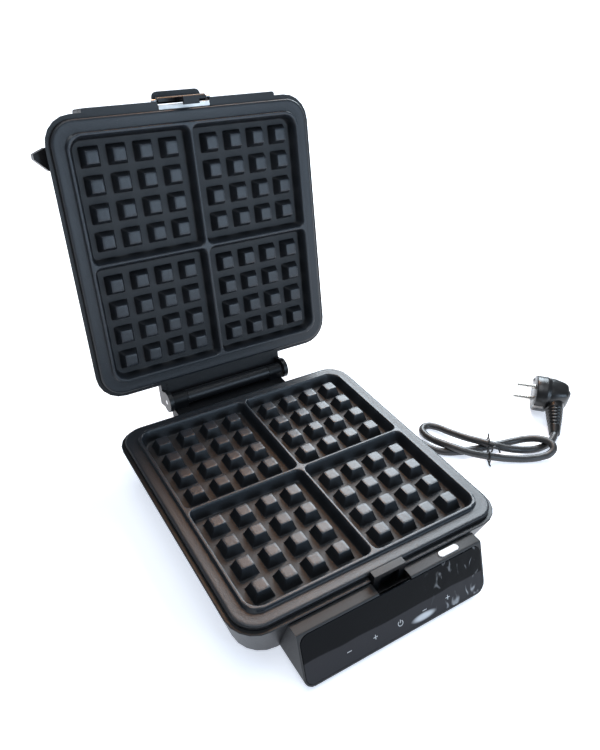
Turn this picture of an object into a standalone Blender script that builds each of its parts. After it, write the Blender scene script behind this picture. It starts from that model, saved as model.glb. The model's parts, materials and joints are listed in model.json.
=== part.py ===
"""Electric waffle maker for four square waffles, with its lid open.

Every size is in metres. The pieces are laid out from the centre of the lower cooking plate, at table
height, with +X to the machine's right and -Y towards the person using it. One empty carries them all,
so that the finished machine stands with the middle of its footprint on the origin. The lid's pieces
are drawn closed, and an empty on the hinge axis opens them.
"""

import math

import bmesh
import bpy
from mathutils import Euler, Matrix, Vector

# Waffle pattern: two by two waffles, each of PEG_ROWS by PEG_ROWS pegs
PEG_PITCH = 0.0220
PEG_ROWS = 4
PEG_TOP = 0.0100
PEG_BASE = 0.0159
PEG_HEIGHT = 0.0085
DIVIDER_PITCH = 0.0364
DIVIDER_TOP = 0.0033
DIVIDER_BASE = 0.0085

# Cooking plates
LIP_HEIGHT = 0.0015
LIP_WIDTH = 0.0026
POCKET_DRAFT = 0.0027
POCKET_CORNER = 0.0080
FLOOR_THICKNESS = 0.0025
FLANGE_WIDTH = 0.0103
FLANGE_DROP = 0.0015
FLANGE_THICKNESS = 0.0036
FLANGE_CORNER = 0.0190
PLATE_GAP = 0.0006

# Housings
PEG_TOP_HEIGHT = 0.0510
RIM_OVERHANG = 0.0039
WALL = 0.0025
LEDGE_THICKNESS = 0.0025
HOUSING_LEAN = 0.0120
HOUSING_CORNER = 0.0220
COVER_THICKNESS = 0.0012
LID_FRAME_DEPTH = 0.0090
LID_DEPTH = 0.0400
LID_LEAN = 0.0100
LID_EDGE = 0.0090

# Control box on the front of the base
BOX_HALF_WIDTH = 0.0810
BOX_LEDGE = 0.0093
BOX_TOP_DROP = 0.0080
BOX_SLOPE = 0.0157
BOX_CORNER = 0.0080
PANEL_MARGIN = 0.0018
PANEL_THICKNESS = 0.0016
BUTTON_LENGTH = 0.0185
BUTTON_WIDTH = 0.0053
BUTTON_X = 0.0530
BUTTON_PROUD = 0.0008
BUTTON_DEPTH = 0.0045
BUTTON_TRAVEL = 0.0015

# Hinge
HINGE_REACH = 0.0143
HINGE_RISE = 0.0010
LID_OPEN_ANGLE = math.radians(104.9)
KNUCKLE_RADIUS = 0.0062
KNUCKLE_INNER = 0.0420
KNUCKLE_OUTER = 0.0560
CHEEK_RADIUS = 0.0095
CHEEK_THICKNESS = 0.0040
HINGE_PIN_RADIUS = 0.0020

# Lid latch
LATCH_HALF_WIDTH = 0.0213
LATCH_THICKNESS = 0.0025
LATCH_PIN_RADIUS = 0.0012
HOOK_HALF_WIDTH = 0.0068
CATCH_HALF_WIDTH = 0.0140
LID_BAR_HALF_WIDTH = 0.0847
LID_BAR_DEPTH = 0.0032
RELEASE_TRAVEL = 0.0020

# Small pieces
FOOT_HEIGHT = 0.0032
FOOT_RADIUS = 0.0080
FRONT_FOOT_INSET = 0.0165
REAR_FOOT_INSET = 0.0088
SHEET = 0.0006
ELEMENT_RADIUS = 0.0032
ELEMENT_HALF = 0.0680
SCREW_RADIUS = 0.0032

# Mains cord, plug and the fit between neighbours
CORD_RADIUS = 0.0035
CORD_EXIT_X = -0.0450
CORD_EXIT_HEIGHT = 0.0150
GLAND_LENGTH = 0.0240
PLUG_RADIUS = 0.0185
PLUG_PIN_RADIUS = 0.0024
PLUG_PIN_LENGTH = 0.0190
PLUG_PIN_SPACING = 0.0190
HANK_CENTRE = Vector((0.2066, -0.0178))
HANK_ANGLE = math.radians(-36.8)
HANK_HALF_LENGTH = 0.0672
HANK_HALF_WIDTH = 0.0235
HANK_CORNER = 0.0200
HANK_HEIGHT = 0.0150
PLUG_FACE = Vector((0.2955, 0.0090, PLUG_RADIUS + 0.0002))
PLUG_HEADING = math.radians(135.6)
PLUG_ROLL = math.radians(15.5)
RELIEF_SETBACK = 0.0205
RELIEF_END = 0.0500
TAIL_LENGTH = 0.0090
GAP = 0.0003

# Places that follow from the sizes above
PEG_REACH = DIVIDER_PITCH / 2 + (PEG_ROWS - 1) * PEG_PITCH + PEG_BASE / 2
POCKET_FLOOR = PEG_REACH + 0.8 * (PEG_PITCH - PEG_BASE)
POCKET_TOP = POCKET_FLOOR + POCKET_DRAFT
LIP_HALF = POCKET_TOP + LIP_WIDTH
FLANGE_HALF = LIP_HALF + FLANGE_WIDTH
HOUSING_HALF = FLANGE_HALF + RIM_OVERHANG
PLATE_BOTTOM = -PEG_HEIGHT - FLOOR_THICKNESS
RIM_Z = PEG_TOP_HEIGHT - FLANGE_DROP - FLANGE_THICKNESS - GAP
COVER_Z = FOOT_HEIGHT + GAP
HOUSING_Z = COVER_Z + COVER_THICKNESS + GAP
UPPER_PEG_Z = PEG_TOP_HEIGHT + 2 * LIP_HEIGHT + PLATE_GAP
LID_RIM_Z = UPPER_PEG_Z + FLANGE_DROP + FLANGE_THICKNESS + GAP
LID_SPLIT_Z = LID_RIM_Z + LID_FRAME_DEPTH
LID_TOP_Z = LID_RIM_Z + LID_DEPTH
HINGE_Y = HOUSING_HALF + HINGE_REACH
HINGE_Z = PEG_TOP_HEIGHT + HINGE_RISE
BOX_TOP_Z = PEG_TOP_HEIGHT - BOX_TOP_DROP
BOX_FRONT_Y = -HOUSING_HALF - BOX_LEDGE
LATCH_FACE_Y = -HOUSING_HALF - 0.0026
LATCH_PIN_Y = LATCH_FACE_Y - LATCH_THICKNESS / 2
LATCH_PIN_Z = UPPER_PEG_Z + 0.0115

COLOURS = {
    "non_stick": ((0.030, 0.033, 0.040), 0.42, 0.0),
    "satin_black": ((0.022, 0.022, 0.024), 0.45, 0.0),
    "dark_grey": ((0.052, 0.052, 0.056), 0.50, 0.0),
    "gloss_black": ((0.010, 0.011, 0.014), 0.10, 0.0),
    "steel": ((0.620, 0.620, 0.610), 0.30, 1.0),
    "silver_plastic": ((0.600, 0.610, 0.620), 0.35, 0.2),
    "aluminium": ((0.560, 0.560, 0.560), 0.45, 1.0),
    "rubber": ((0.018, 0.018, 0.018), 0.80, 0.0),
    "cord": ((0.045, 0.045, 0.047), 0.55, 0.0),
    "board": ((0.020, 0.120, 0.050), 0.50, 0.0),
    "ceramic": ((0.700, 0.680, 0.620), 0.60, 0.0),
    "wire_tie": ((0.012, 0.012, 0.012), 0.50, 0.0),
}


# ---------------------------------------------------------------- scene and materials


def clear_scene():
    """Empties the file's scene of the objects that it opens with."""
    for obj in list(bpy.data.objects):
        bpy.data.objects.remove(obj, do_unlink=True)


def new_collection(name, hidden=False):
    """Makes a collection in the scene."""
    collection = bpy.data.collections.new(name)
    bpy.context.scene.collection.children.link(collection)
    collection.hide_render = hidden
    return collection


def finish_of(kind):
    """Makes the Principled material of one finish, or finds it again."""
    material = bpy.data.materials.get(kind)
    if material is None:
        colour, roughness, metallic = COLOURS[kind]
        material = bpy.data.materials.new(kind)
        material.use_nodes = True
        shader = material.node_tree.nodes["Principled BSDF"]
        shader.inputs["Base Color"].default_value = (*colour, 1.0)
        shader.inputs["Roughness"].default_value = roughness
        shader.inputs["Metallic"].default_value = metallic
    return material


class Group:
    """Puts pieces under one empty, and keeps their coordinates those of the closed machine."""

    def __init__(self, name, parts, cutters, at=(0.0, 0.0, 0.0), turned=(0.0, 0.0, 0.0), parent=None):
        self.parts = parts
        self.cutters = cutters
        self.origin = Vector(at)
        self.empty = bpy.data.objects.new(name, None)
        parts.objects.link(self.empty)
        self.empty.location = self.origin - (parent.origin if parent else Vector())
        self.empty.rotation_euler = turned
        self.empty.parent = parent.empty if parent else None

    def place(self, obj):
        """Moves an object drawn in the closed machine's coordinates under this group's empty."""
        obj.parent = self.empty
        obj.location = Vector(obj.location) - self.origin
        return obj

    def piece(self, name, shape, finish):
        """Adds a finished sub-part from a bmesh or from an object."""
        obj = self.solid(name, shape)
        obj.data.materials.clear()
        obj.data.materials.append(finish_of(finish))
        return obj

    def solid(self, name, shape):
        """Turns a bmesh into a named object of this group."""
        if isinstance(shape, bpy.types.Object):
            shape.name = name
            shape.data.name = name
        else:
            mesh = bpy.data.meshes.new(name)
            shape.to_mesh(mesh)
            shape.free()
            shape = bpy.data.objects.new(name, mesh)
        self.parts.objects.link(shape)
        return self.place(shape)

    def _tool(self, shape, target):
        tool = self.solid(f"cut_{target.name}_{len(target.modifiers)}", shape)
        self.parts.objects.unlink(tool)
        self.cutters.objects.link(tool)
        tool.hide_render = True
        tool.display_type = "WIRE"
        return tool

    def combine(self, target, operation, *shapes):
        """Adds one Boolean modifier to the target for each shape."""
        for shape in shapes:
            modifier = target.modifiers.new(operation.title(), "BOOLEAN")
            modifier.operation = operation
            modifier.solver = "EXACT"
            modifier.object = self._tool(shape, target)
        return target

    def cut(self, target, *shapes):
        return self.combine(target, "DIFFERENCE", *shapes)

    def join(self, target, *shapes):
        return self.combine(target, "UNION", *shapes)


# ---------------------------------------------------------------- shapes


def box(x, y, z):
    """A box from its low and high ends along each axis."""
    shape = bmesh.new()
    bmesh.ops.create_cube(shape, size=1.0)
    for vert in shape.verts:
        vert.co = Vector(low + (share + 0.5) * (high - low) for share, (low, high) in zip(vert.co, (x, y, z)))
    return shape


def tapered(low, high, corner=0.0, edge=0.0, round_low=False, segments=5):
    """A block between two rectangles, each (z, x0, x1, y0, y1), with round corners and one soft end."""
    shape = bmesh.new()
    bmesh.ops.create_cube(shape, size=2.0)
    for vert in shape.verts:
        z, x0, x1, y0, y1 = high if vert.co.z > 0 else low
        vert.co = (x1 if vert.co.x > 0 else x0, y1 if vert.co.y > 0 else y0, z)
    if corner:
        upright = [e for e in shape.edges if abs(e.verts[0].co.z - e.verts[1].co.z) > 1e-6]
        bmesh.ops.bevel(
            shape, geom=upright, offset=corner, segments=segments, affect="EDGES", profile=0.5
        )
    if edge:
        z_soft = low[0] if round_low else high[0]
        rim = [e for e in shape.edges if all(abs(v.co.z - z_soft) < 1e-6 for v in e.verts)]
        bmesh.ops.bevel(shape, geom=rim, offset=edge, segments=3, affect="EDGES", profile=0.5)
    return shape


def square(z, half):
    """The rectangle of a tapered block's end, as a square round the centre."""
    return (z, -half, half, -half, half)


def sheared(points, half_width, side_corner=0.0, front_edge=0.0):
    """A block along X with the four-sided profile points (y, z): top back, top front, low front, low back."""
    shape = bmesh.new()
    bmesh.ops.create_cube(shape, size=2.0)
    top_back, top_front, low_front, low_back = points
    for vert in shape.verts:
        if vert.co.z > 0:
            y, z = top_back if vert.co.y > 0 else top_front
        else:
            y, z = low_back if vert.co.y > 0 else low_front
        vert.co = (half_width if vert.co.x > 0 else -half_width, y, z)
    if side_corner:
        low_z = min(low_front[1], low_back[1])
        low_sides = [
            e
            for e in shape.edges
            if abs(e.verts[0].co.x - e.verts[1].co.x) < 1e-6
            and all(abs(v.co.z - low_z) < 1e-3 for v in e.verts)
        ]
        bmesh.ops.bevel(shape, geom=low_sides, offset=side_corner, segments=4, affect="EDGES", profile=0.5)
    if front_edge:
        top_edge = [
            e for e in shape.edges if all((v.co.yz - Vector(top_front)).length < 1e-6 for v in e.verts)
        ]
        bmesh.ops.bevel(shape, geom=top_edge, offset=front_edge, segments=2, affect="EDGES", profile=0.5)
    return shape


def cylinder(start, end, radius, end_radius=None, sides=20):
    """A round bar, or a cone, from start to end."""
    start, end = Vector(start), Vector(end)
    shape = bmesh.new()
    radius_2 = radius if end_radius is None else end_radius
    bmesh.ops.create_cone(
        shape, cap_ends=True, segments=sides, radius1=radius, radius2=radius_2, depth=(end - start).length
    )
    turn = (end - start).to_track_quat("Z", "X").to_matrix().to_4x4()
    bmesh.ops.transform(shape, matrix=Matrix.Translation((start + end) / 2) @ turn, verts=shape.verts)
    return shape


def outline_object(name, points, thickness):
    """A flat closed outline in XY made solid over z from 0 to thickness."""
    curve = bpy.data.curves.new(name, "CURVE")
    curve.dimensions = "2D"
    curve.fill_mode = "BOTH"
    curve.extrude = thickness / 2
    spline = curve.splines.new("POLY")
    spline.points.add(len(points) - 1)
    for point, (x, y) in zip(spline.points, points):
        point.co = (x, y, 0.0, 1.0)
    spline.use_cyclic_u = True
    return bpy.data.objects.new(name, curve)


def meshed(obj, matrix=None):
    """The welded bmesh of a curve object, moved by a matrix. The curve is removed."""
    bpy.context.scene.collection.objects.link(obj)
    bpy.context.view_layer.update()
    graph = bpy.context.evaluated_depsgraph_get()
    mesh = bpy.data.meshes.new_from_object(obj.evaluated_get(graph))
    shape = bmesh.new()
    shape.from_mesh(mesh)
    bmesh.ops.remove_doubles(shape, verts=shape.verts, dist=1e-6)
    bmesh.ops.recalc_face_normals(shape, faces=shape.faces)
    if matrix is not None:
        bmesh.ops.transform(shape, matrix=matrix, verts=shape.verts)
    bpy.data.objects.remove(obj, do_unlink=True)
    bpy.data.meshes.remove(mesh)
    return shape


def prism(points, low, high):
    """The bmesh of a flat outline in XY, solid over z from low to high."""
    return meshed(outline_object("outline", points, high - low), Matrix.Translation((0, 0, (low + high) / 2)))


def stadium(centre, half_length, radius, steps=8):
    """Points of a straight slot's outline with round ends, lying along X."""
    points = []
    for side in (1, -1):
        for step in range(steps + 1):
            angle = -math.pi / 2 + math.pi * step / steps
            points.append(
                (
                    centre[0] + side * (half_length - radius + radius * math.cos(angle)),
                    centre[1] + side * radius * math.sin(angle),
                )
            )
    return points


def rounded_rectangle(half_x, half_y, corner, steps=5):
    """Points of a rectangle's outline with round corners, anticlockwise."""
    points = []
    for quarter in range(4):
        sign_x = 1 if quarter in (0, 3) else -1
        sign_y = 1 if quarter in (0, 1) else -1
        for step in range(steps + 1):
            angle = math.radians(90 * quarter + 90 * step / steps)
            points.append(
                (
                    sign_x * (half_x - corner) + corner * math.cos(angle),
                    sign_y * (half_y - corner) + corner * math.sin(angle),
                )
            )
    return points


def wire(name, points, radius, resolution=2):
    """A round wire through points, as a curve with filled caps."""
    curve = bpy.data.curves.new(name, "CURVE")
    curve.dimensions = "3D"
    curve.bevel_depth = radius
    curve.bevel_resolution = resolution
    curve.use_fill_caps = True
    spline = curve.splines.new("POLY")
    spline.points.add(len(points) - 1)
    for point, place in zip(spline.points, points):
        point.co = (*place, 1.0)
    return bpy.data.objects.new(name, curve)


def turned(profile, matrix, steps=24):
    """A turned shape about Z from (radius, z) points that run top to bottom, moved by a matrix."""
    mesh = bpy.data.meshes.new("profile")
    mesh.from_pydata([(r, 0.0, z) for r, z in profile], [(i, i + 1) for i in range(len(profile) - 1)], [])
    obj = bpy.data.objects.new("profile", mesh)
    screw = obj.modifiers.new("Screw", "SCREW")
    screw.steps = steps
    screw.render_steps = steps
    screw.use_merge_vertices = True
    screw.merge_threshold = 1e-5
    return meshed(obj, matrix)


# ---------------------------------------------------------------- cooking plates and heating


def pegs():
    """All the pegs, each a four-sided cone stump that starts inside the plate's floor."""
    shape = bmesh.new()
    sunk = FLOOR_THICKNESS / 2
    slope = (PEG_BASE - PEG_TOP) / 2 / PEG_HEIGHT
    low_half = PEG_BASE / 2 + slope * sunk
    height = PEG_HEIGHT + sunk
    places = [
        side * (DIVIDER_PITCH / 2 + row * PEG_PITCH) for side in (-1, 1) for row in range(PEG_ROWS)
    ]
    for x in places:
        for y in places:
            matrix = Matrix.Translation((x, y, -height / 2)) @ Matrix.Rotation(math.pi / 4, 4, "Z")
            bmesh.ops.create_cone(
                shape,
                cap_ends=True,
                segments=4,
                radius1=low_half * math.sqrt(2),
                radius2=PEG_TOP / math.sqrt(2),
                depth=height,
                matrix=matrix,
            )
    return shape


def pocket(sign_x, sign_y):
    """The space of one waffle before its pegs stand in it, open above the lip."""
    above = LIP_HEIGHT + 0.001
    share = above / (PEG_HEIGHT + above)
    inner_top = DIVIDER_TOP / 2 - share * (DIVIDER_BASE - DIVIDER_TOP) / 2
    outer_top = POCKET_TOP + share * POCKET_DRAFT
    inner_low = DIVIDER_BASE / 2

    def reach(inner, outer, sign):
        return (inner, outer) if sign > 0 else (-outer, -inner)

    low = (-PEG_HEIGHT, *reach(inner_low, POCKET_FLOOR, sign_x), *reach(inner_low, POCKET_FLOOR, sign_y))
    high = (above, *reach(inner_top, outer_top, sign_x), *reach(inner_top, outer_top, sign_y))
    shape = tapered(low, high)
    for edge in [e for e in shape.edges if abs(e.verts[0].co.z - e.verts[1].co.z) > 1e-6]:
        outer = all(abs(v.co.x) > PEG_REACH and abs(v.co.y) > PEG_REACH for v in edge.verts)
        if outer:
            bmesh.ops.bevel(
                shape, geom=[edge], offset=POCKET_CORNER, segments=4, affect="EDGES", profile=0.5
            )
            break
    return shape


def waffle_plate(group, name, peg_z, faces_down):
    """One cast plate. It is drawn with its pegs up and is turned over for the lid."""
    low = -FLANGE_DROP - FLANGE_THICKNESS
    flange = tapered(
        square(low, FLANGE_HALF), square(-FLANGE_DROP, FLANGE_HALF), FLANGE_CORNER, edge=0.0008
    )
    lip_corner = POCKET_CORNER + LIP_WIDTH
    body = tapered(square(PLATE_BOTTOM, LIP_HALF), square(LIP_HEIGHT, LIP_HALF), lip_corner, edge=0.0006)
    plate = group.piece(name, flange, "non_stick")
    group.join(plate, body)
    quarters = [pocket(x, y) for x in (-1, 1) for y in (-1, 1)]
    group.cut(plate, *quarters)
    group.join(plate, pegs())
    for obj in [plate] + [m.object for m in plate.modifiers]:
        obj.location.z += peg_z
        obj.rotation_euler = (0.0, math.pi if faces_down else 0.0, 0.0)
    return plate


def element_points(z, terminal_y):
    """The heating element's run: a square loop with round corners whose ends turn to the back."""
    corner = 0.020
    end_x = 0.012
    loop = rounded_rectangle(ELEMENT_HALF, ELEMENT_HALF, corner, steps=4)
    start = next(i for i, (x, y) in enumerate(loop) if x < 0 and y > 0)
    ring = loop[start:] + loop[:start]
    inner = corner / 2
    points = [(-end_x, terminal_y, z), (-end_x, ELEMENT_HALF + inner, z)]
    points += [(-end_x - inner / 2, ELEMENT_HALF + inner / 4, z)]
    points += [(x, y, z) for x, y in ring]
    points += [(end_x + inner / 2, ELEMENT_HALF + inner / 4, z)]
    points += [(end_x, ELEMENT_HALF + inner, z), (end_x, terminal_y, z)]
    return points


def heating_element(group, name, z):
    """The tube heater that lies on the back of a plate."""
    element = wire(name, element_points(z, FLANGE_HALF * 0.84), ELEMENT_RADIUS)
    return group.piece(name, meshed(element), "steel")


def heat_shield(group, name, rim_z, depth, sensor_hole):
    """The pressed pan behind a heater. It hangs from the housing's ledge at rim_z."""
    half = LIP_HALF + 0.0030
    toward = -1 if depth > 0 else 1
    low, high = sorted((rim_z, rim_z - depth))
    shield = group.piece(
        name, tapered(square(low, half), square(high, half), POCKET_CORNER + 0.005, segments=4), "aluminium"
    )
    inner_low = low + SHEET if toward < 0 else low - 0.001
    inner_high = high + 0.001 if toward < 0 else high - SHEET
    inner = half - SHEET
    group.cut(
        shield,
        tapered(square(inner_low, inner), square(inner_high, inner), POCKET_CORNER + 0.004, segments=4),
    )
    if sensor_hole:
        group.cut(shield, cylinder((0, 0, low - 0.002), (0, 0, low + 0.004), sensor_hole))
    return shield


# ---------------------------------------------------------------- base


def housing_half(z):
    """Half the base housing's width at a height: the walls lean in towards the table."""
    return HOUSING_HALF - HOUSING_LEAN * (RIM_Z - z) / (RIM_Z - HOUSING_Z)


def base_housing(base):
    """The base's outer shell: leaning walls and the ledge that the lower plate rests on."""
    shell = base.piece(
        "base_housing",
        tapered(
            square(HOUSING_Z, housing_half(HOUSING_Z)), square(RIM_Z, HOUSING_HALF), HOUSING_CORNER, edge=0.001
        ),
        "dark_grey",
    )
    ledge_z = RIM_Z - LEDGE_THICKNESS
    below = HOUSING_Z - 0.002
    base.cut(
        shell,
        tapered(
            square(below, housing_half(below) - WALL),
            square(ledge_z, housing_half(ledge_z) - WALL),
            HOUSING_CORNER - WALL,
        ),
        tapered(
            square(ledge_z - 0.001, LIP_HALF + 0.0022),
            square(RIM_Z + 0.001, LIP_HALF + 0.0022),
            POCKET_CORNER + LIP_WIDTH + 0.0022,
        ),
        box(*catch_pocket()),
        cylinder(
            (CORD_EXIT_X, HOUSING_HALF - 0.03, CORD_EXIT_HEIGHT),
            (CORD_EXIT_X, HOUSING_HALF + 0.01, CORD_EXIT_HEIGHT),
            CORD_RADIUS + 0.0025,
        ),
    )
    return shell


def foot_places():
    """The feet's centres, under the corners of the base, with the rear pair further out below the open lid."""
    half = housing_half(HOUSING_Z)
    front, rear = half - FRONT_FOOT_INSET, half - REAR_FOOT_INSET
    return [(-front, -front), (front, -front), (-rear, rear), (rear, rear)]


def base_bottom(base):
    """The base's floor with its air slots."""
    half = housing_half(HOUSING_Z)
    floor = base.piece(
        "base_bottom_cover",
        tapered(
            square(COVER_Z, half - 0.0012),
            square(COVER_Z + COVER_THICKNESS, half),
            HOUSING_CORNER,
            segments=5,
        ),
        "satin_black",
    )
    for row in range(4):
        y = 0.030 + 0.012 * row
        base.cut(floor, prism(stadium((0, y), 0.030, 0.002, steps=4), COVER_Z - 0.001, HOUSING_Z))
    return floor


def feet(base):
    """Four round rubber feet under the base, and one pair under the control box."""
    for number, (x, y) in enumerate(foot_places(), 1):
        foot = cylinder((x, y, 0.0), (x, y, FOOT_HEIGHT), FOOT_RADIUS - 0.001, FOOT_RADIUS)
        base.piece(f"foot_{number}", foot, "rubber")
    for number, side in enumerate((-1, 1), 5):
        x = side * (BOX_HALF_WIDTH - 0.018)
        y = box_front_y(COVER_Z) + 0.009
        pad = prism(stadium((x, y), 0.011, 0.004, steps=5), 0.0, FOOT_HEIGHT)
        base.piece(f"foot_{number}", pad, "rubber")


def cover_screws(base):
    """Four screws that hold the floor, each head flat against it."""
    reach = housing_half(HOUSING_Z) - 0.045
    number = 0
    for x in (-reach, reach):
        for y in (-reach, reach):
            number += 1
            head = cylinder((x, y, COVER_Z - GAP - 0.0018), (x, y, COVER_Z - GAP), SCREW_RADIUS, sides=16)
            screw = base.piece(f"base_screw_{number}", head, "steel")
            base.cut(screw, box((x - 0.0022, x + 0.0022), (y - 0.0004, y + 0.0004), (0, COVER_Z - 0.0014)))


# ---------------------------------------------------------------- control box


def box_front_y(z):
    """The control box's leaning front at a height."""
    return BOX_FRONT_Y - BOX_SLOPE * (BOX_TOP_Z - z) / (BOX_TOP_Z - COVER_Z)


def box_back_y(z):
    """The control box's back, which follows the base's front wall."""
    return -housing_half(z) - GAP


def control_box(base):
    """The box for the panel and its board, open towards the base."""
    outer = [
        (box_back_y(BOX_TOP_Z), BOX_TOP_Z),
        (box_front_y(BOX_TOP_Z), BOX_TOP_Z),
        (box_front_y(COVER_Z), COVER_Z),
        (box_back_y(COVER_Z), COVER_Z),
    ]
    shell = base.piece(
        "control_box_housing", sheared(outer, BOX_HALF_WIDTH, BOX_CORNER, front_edge=0.0012), "dark_grey"
    )
    top, low = BOX_TOP_Z - WALL, COVER_Z + WALL
    inner = [
        (box_back_y(top) + 0.004, top),
        (box_front_y(top) + WALL + PANEL_THICKNESS, top),
        (box_front_y(low) + WALL + PANEL_THICKNESS, low),
        (box_back_y(low) + 0.004, low),
    ]
    base.cut(shell, sheared(inner, BOX_HALF_WIDTH - WALL, BOX_CORNER - WALL))
    base.cut(shell, panel_shape(0.0003, PANEL_THICKNESS + 0.0003, 0.002))
    button_slot = stadium(button_centre(), BUTTON_LENGTH / 2 + GAP, BUTTON_WIDTH / 2 + GAP)
    base.cut(shell, prism(button_slot, BOX_TOP_Z - BUTTON_DEPTH - BUTTON_TRAVEL - 0.001, BOX_TOP_Z + 0.001))
    base.cut(shell, box(*catch_pocket()))
    return shell


def panel_shape(grow, depth, proud):
    """The panel's outline on the box's leaning front, from proud of the face to depth behind it."""
    drop = BOX_TOP_Z - COVER_Z
    slant = math.hypot(drop, BOX_SLOPE)
    half_x = BOX_HALF_WIDTH - PANEL_MARGIN + grow
    half_y = slant / 2 - PANEL_MARGIN + grow
    points = rounded_rectangle(half_x, half_y, BOX_CORNER - PANEL_MARGIN + grow, steps=4)
    shape = prism(points, -depth, proud)
    middle = Vector((0.0, (box_front_y(BOX_TOP_Z) + box_front_y(COVER_Z)) / 2, (BOX_TOP_Z + COVER_Z) / 2))
    lean = math.atan2(BOX_SLOPE, drop)
    turn = Matrix.Rotation(math.pi / 2 - lean, 4, "X")
    bmesh.ops.transform(shape, matrix=Matrix.Translation(middle) @ turn, verts=shape.verts)
    return shape


def control_panel(base):
    """The glossy front panel, let into the control box."""
    return base.piece("control_panel", panel_shape(0.0, PANEL_THICKNESS, 0.0002), "gloss_black")


def control_board(base):
    """The electronics board on edge behind the panel."""
    shift = WALL + PANEL_THICKNESS + 0.003
    z_top, z_low = BOX_TOP_Z - 0.010, COVER_Z + 0.006
    profile = [
        (box_front_y(z_top) + shift + 0.0016, z_top),
        (box_front_y(z_top) + shift, z_top),
        (box_front_y(z_low) + shift, z_low),
        (box_front_y(z_low) + shift + 0.0016, z_low),
    ]
    return base.piece("control_board", sheared(profile, BOX_HALF_WIDTH - 0.012), "board")


def button_centre():
    """The lower release button's place on the box's top strip."""
    return (BUTTON_X, (box_back_y(BOX_TOP_Z) + BOX_FRONT_Y) / 2)


def lower_release(base):
    """The push button that frees the lower plate, in its slot in the box's top."""
    x, y = button_centre()
    group = Group(
        "lower_release_slide", base.parts, base.cutters, at=(x, y, BOX_TOP_Z), parent=base
    )
    cap = prism(
        stadium((x, y), BUTTON_LENGTH / 2, BUTTON_WIDTH / 2),
        BOX_TOP_Z - BUTTON_DEPTH,
        BOX_TOP_Z + BUTTON_PROUD,
    )
    return group.piece("lower_release_button", cap, "silver_plastic")


# ---------------------------------------------------------------- latch catch and hinge


def catch_pocket():
    """The room for the latch catch in the base's front rim."""
    side = CATCH_HALF_WIDTH + GAP
    return (
        (-side, side),
        (-HOUSING_HALF - 0.010, -FLANGE_HALF - GAP + 0.0004),
        (PEG_TOP_HEIGHT - 0.0170, PEG_TOP_HEIGHT + 0.010),
    )


def latch_catch(base):
    """The block on the base's front with the lip that the latch hooks under."""
    back = -FLANGE_HALF - GAP
    nose = LATCH_FACE_Y + 0.0005
    top = PEG_TOP_HEIGHT + 0.0006
    lip_low = PEG_TOP_HEIGHT - 0.0036
    low = PEG_TOP_HEIGHT - 0.0170 + GAP
    side = (-CATCH_HALF_WIDTH, CATCH_HALF_WIDTH)
    catch = base.piece("latch_catch", box(side, (nose, back), (low, top)), "gloss_black")
    hook_room = HOOK_HALF_WIDTH + 0.0014
    base.cut(catch, box((-hook_room, hook_room), (nose - 0.001, nose + 0.0045), (low - 0.001, lip_low)))
    return catch


def hinge_bar(start, end, radius):
    """A round piece on the hinge axis from x start to x end."""
    return cylinder((start, HINGE_Y, HINGE_Z), (end, HINGE_Y, HINGE_Z), radius, sides=24)


def hinge_bracket(base):
    """The base's hinge block: a deck behind the plate with a knuckle at each end."""
    deck_top = HINGE_Z - KNUCKLE_RADIUS - 0.0012
    low = deck_top - 0.016
    back = HINGE_Y + 0.004
    deck = [
        (back, deck_top),
        (housing_half(deck_top) + GAP, deck_top),
        (housing_half(low) + GAP, low),
        (back - 0.006, low),
    ]
    bracket = base.piece("hinge_bracket", sheared(deck, KNUCKLE_OUTER), "satin_black")
    for side in (-1, 1):
        ends = sorted((side * (KNUCKLE_INNER + GAP), side * KNUCKLE_OUTER))
        base.join(
            bracket,
            hinge_bar(*ends, KNUCKLE_RADIUS),
            box(ends, (HINGE_Y - KNUCKLE_RADIUS * 0.9, HINGE_Y + 0.0035), (deck_top - 0.001, HINGE_Z)),
        )
    base.cut(bracket, hinge_bar(-0.1, 0.1, HINGE_PIN_RADIUS + GAP))
    return bracket


def hinge_pin(base):
    """The steel rod through all the knuckles."""
    reach = KNUCKLE_OUTER + 0.0012 + CHEEK_THICKNESS
    return base.piece("hinge_pin", hinge_bar(-reach, reach, HINGE_PIN_RADIUS), "steel")


# ---------------------------------------------------------------- inside the base


def inside_base(base):
    """The electrical pieces between the heat shield and the floor."""
    floor = COVER_Z + COVER_THICKNESS + GAP
    shield_low = RIM_Z - LEDGE_THICKNESS - GAP - 0.0150
    sensor_top = PEG_TOP_HEIGHT + PLATE_BOTTOM - GAP
    base.piece(
        "thermostat", cylinder((0, 0, shield_low - 0.004), (0, 0, sensor_top), 0.0080), "aluminium"
    )
    base.piece(
        "thermal_fuse",
        cylinder((0.030, -0.020, shield_low - 0.0036), (0.030, 0.010, shield_low - 0.0036), 0.0030, sides=12),
        "ceramic",
    )
    block = base.piece(
        "terminal_block", box((-0.070, -0.040), (0.062, 0.078), (floor, floor + 0.012)), "ceramic"
    )
    for x in (-0.063, -0.055, -0.047):
        base.cut(block, cylinder((x, 0.070, floor + 0.006), (x, 0.070, floor + 0.013), 0.0020, sides=12))


# ---------------------------------------------------------------- lid


def lid_half(z):
    """Half the lid's width at a height: its walls lean in towards the top."""
    return HOUSING_HALF - LID_LEAN * (z - LID_RIM_Z) / LID_DEPTH


def latch_recess():
    """The space in the lid's front bar where the latch swings."""
    side = LATCH_HALF_WIDTH + 0.0016
    return box(
        (-side, side), (-HOUSING_HALF - 0.020, -HOUSING_HALF - GAP), (LID_RIM_Z - 0.010, LID_TOP_Z)
    )


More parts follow.
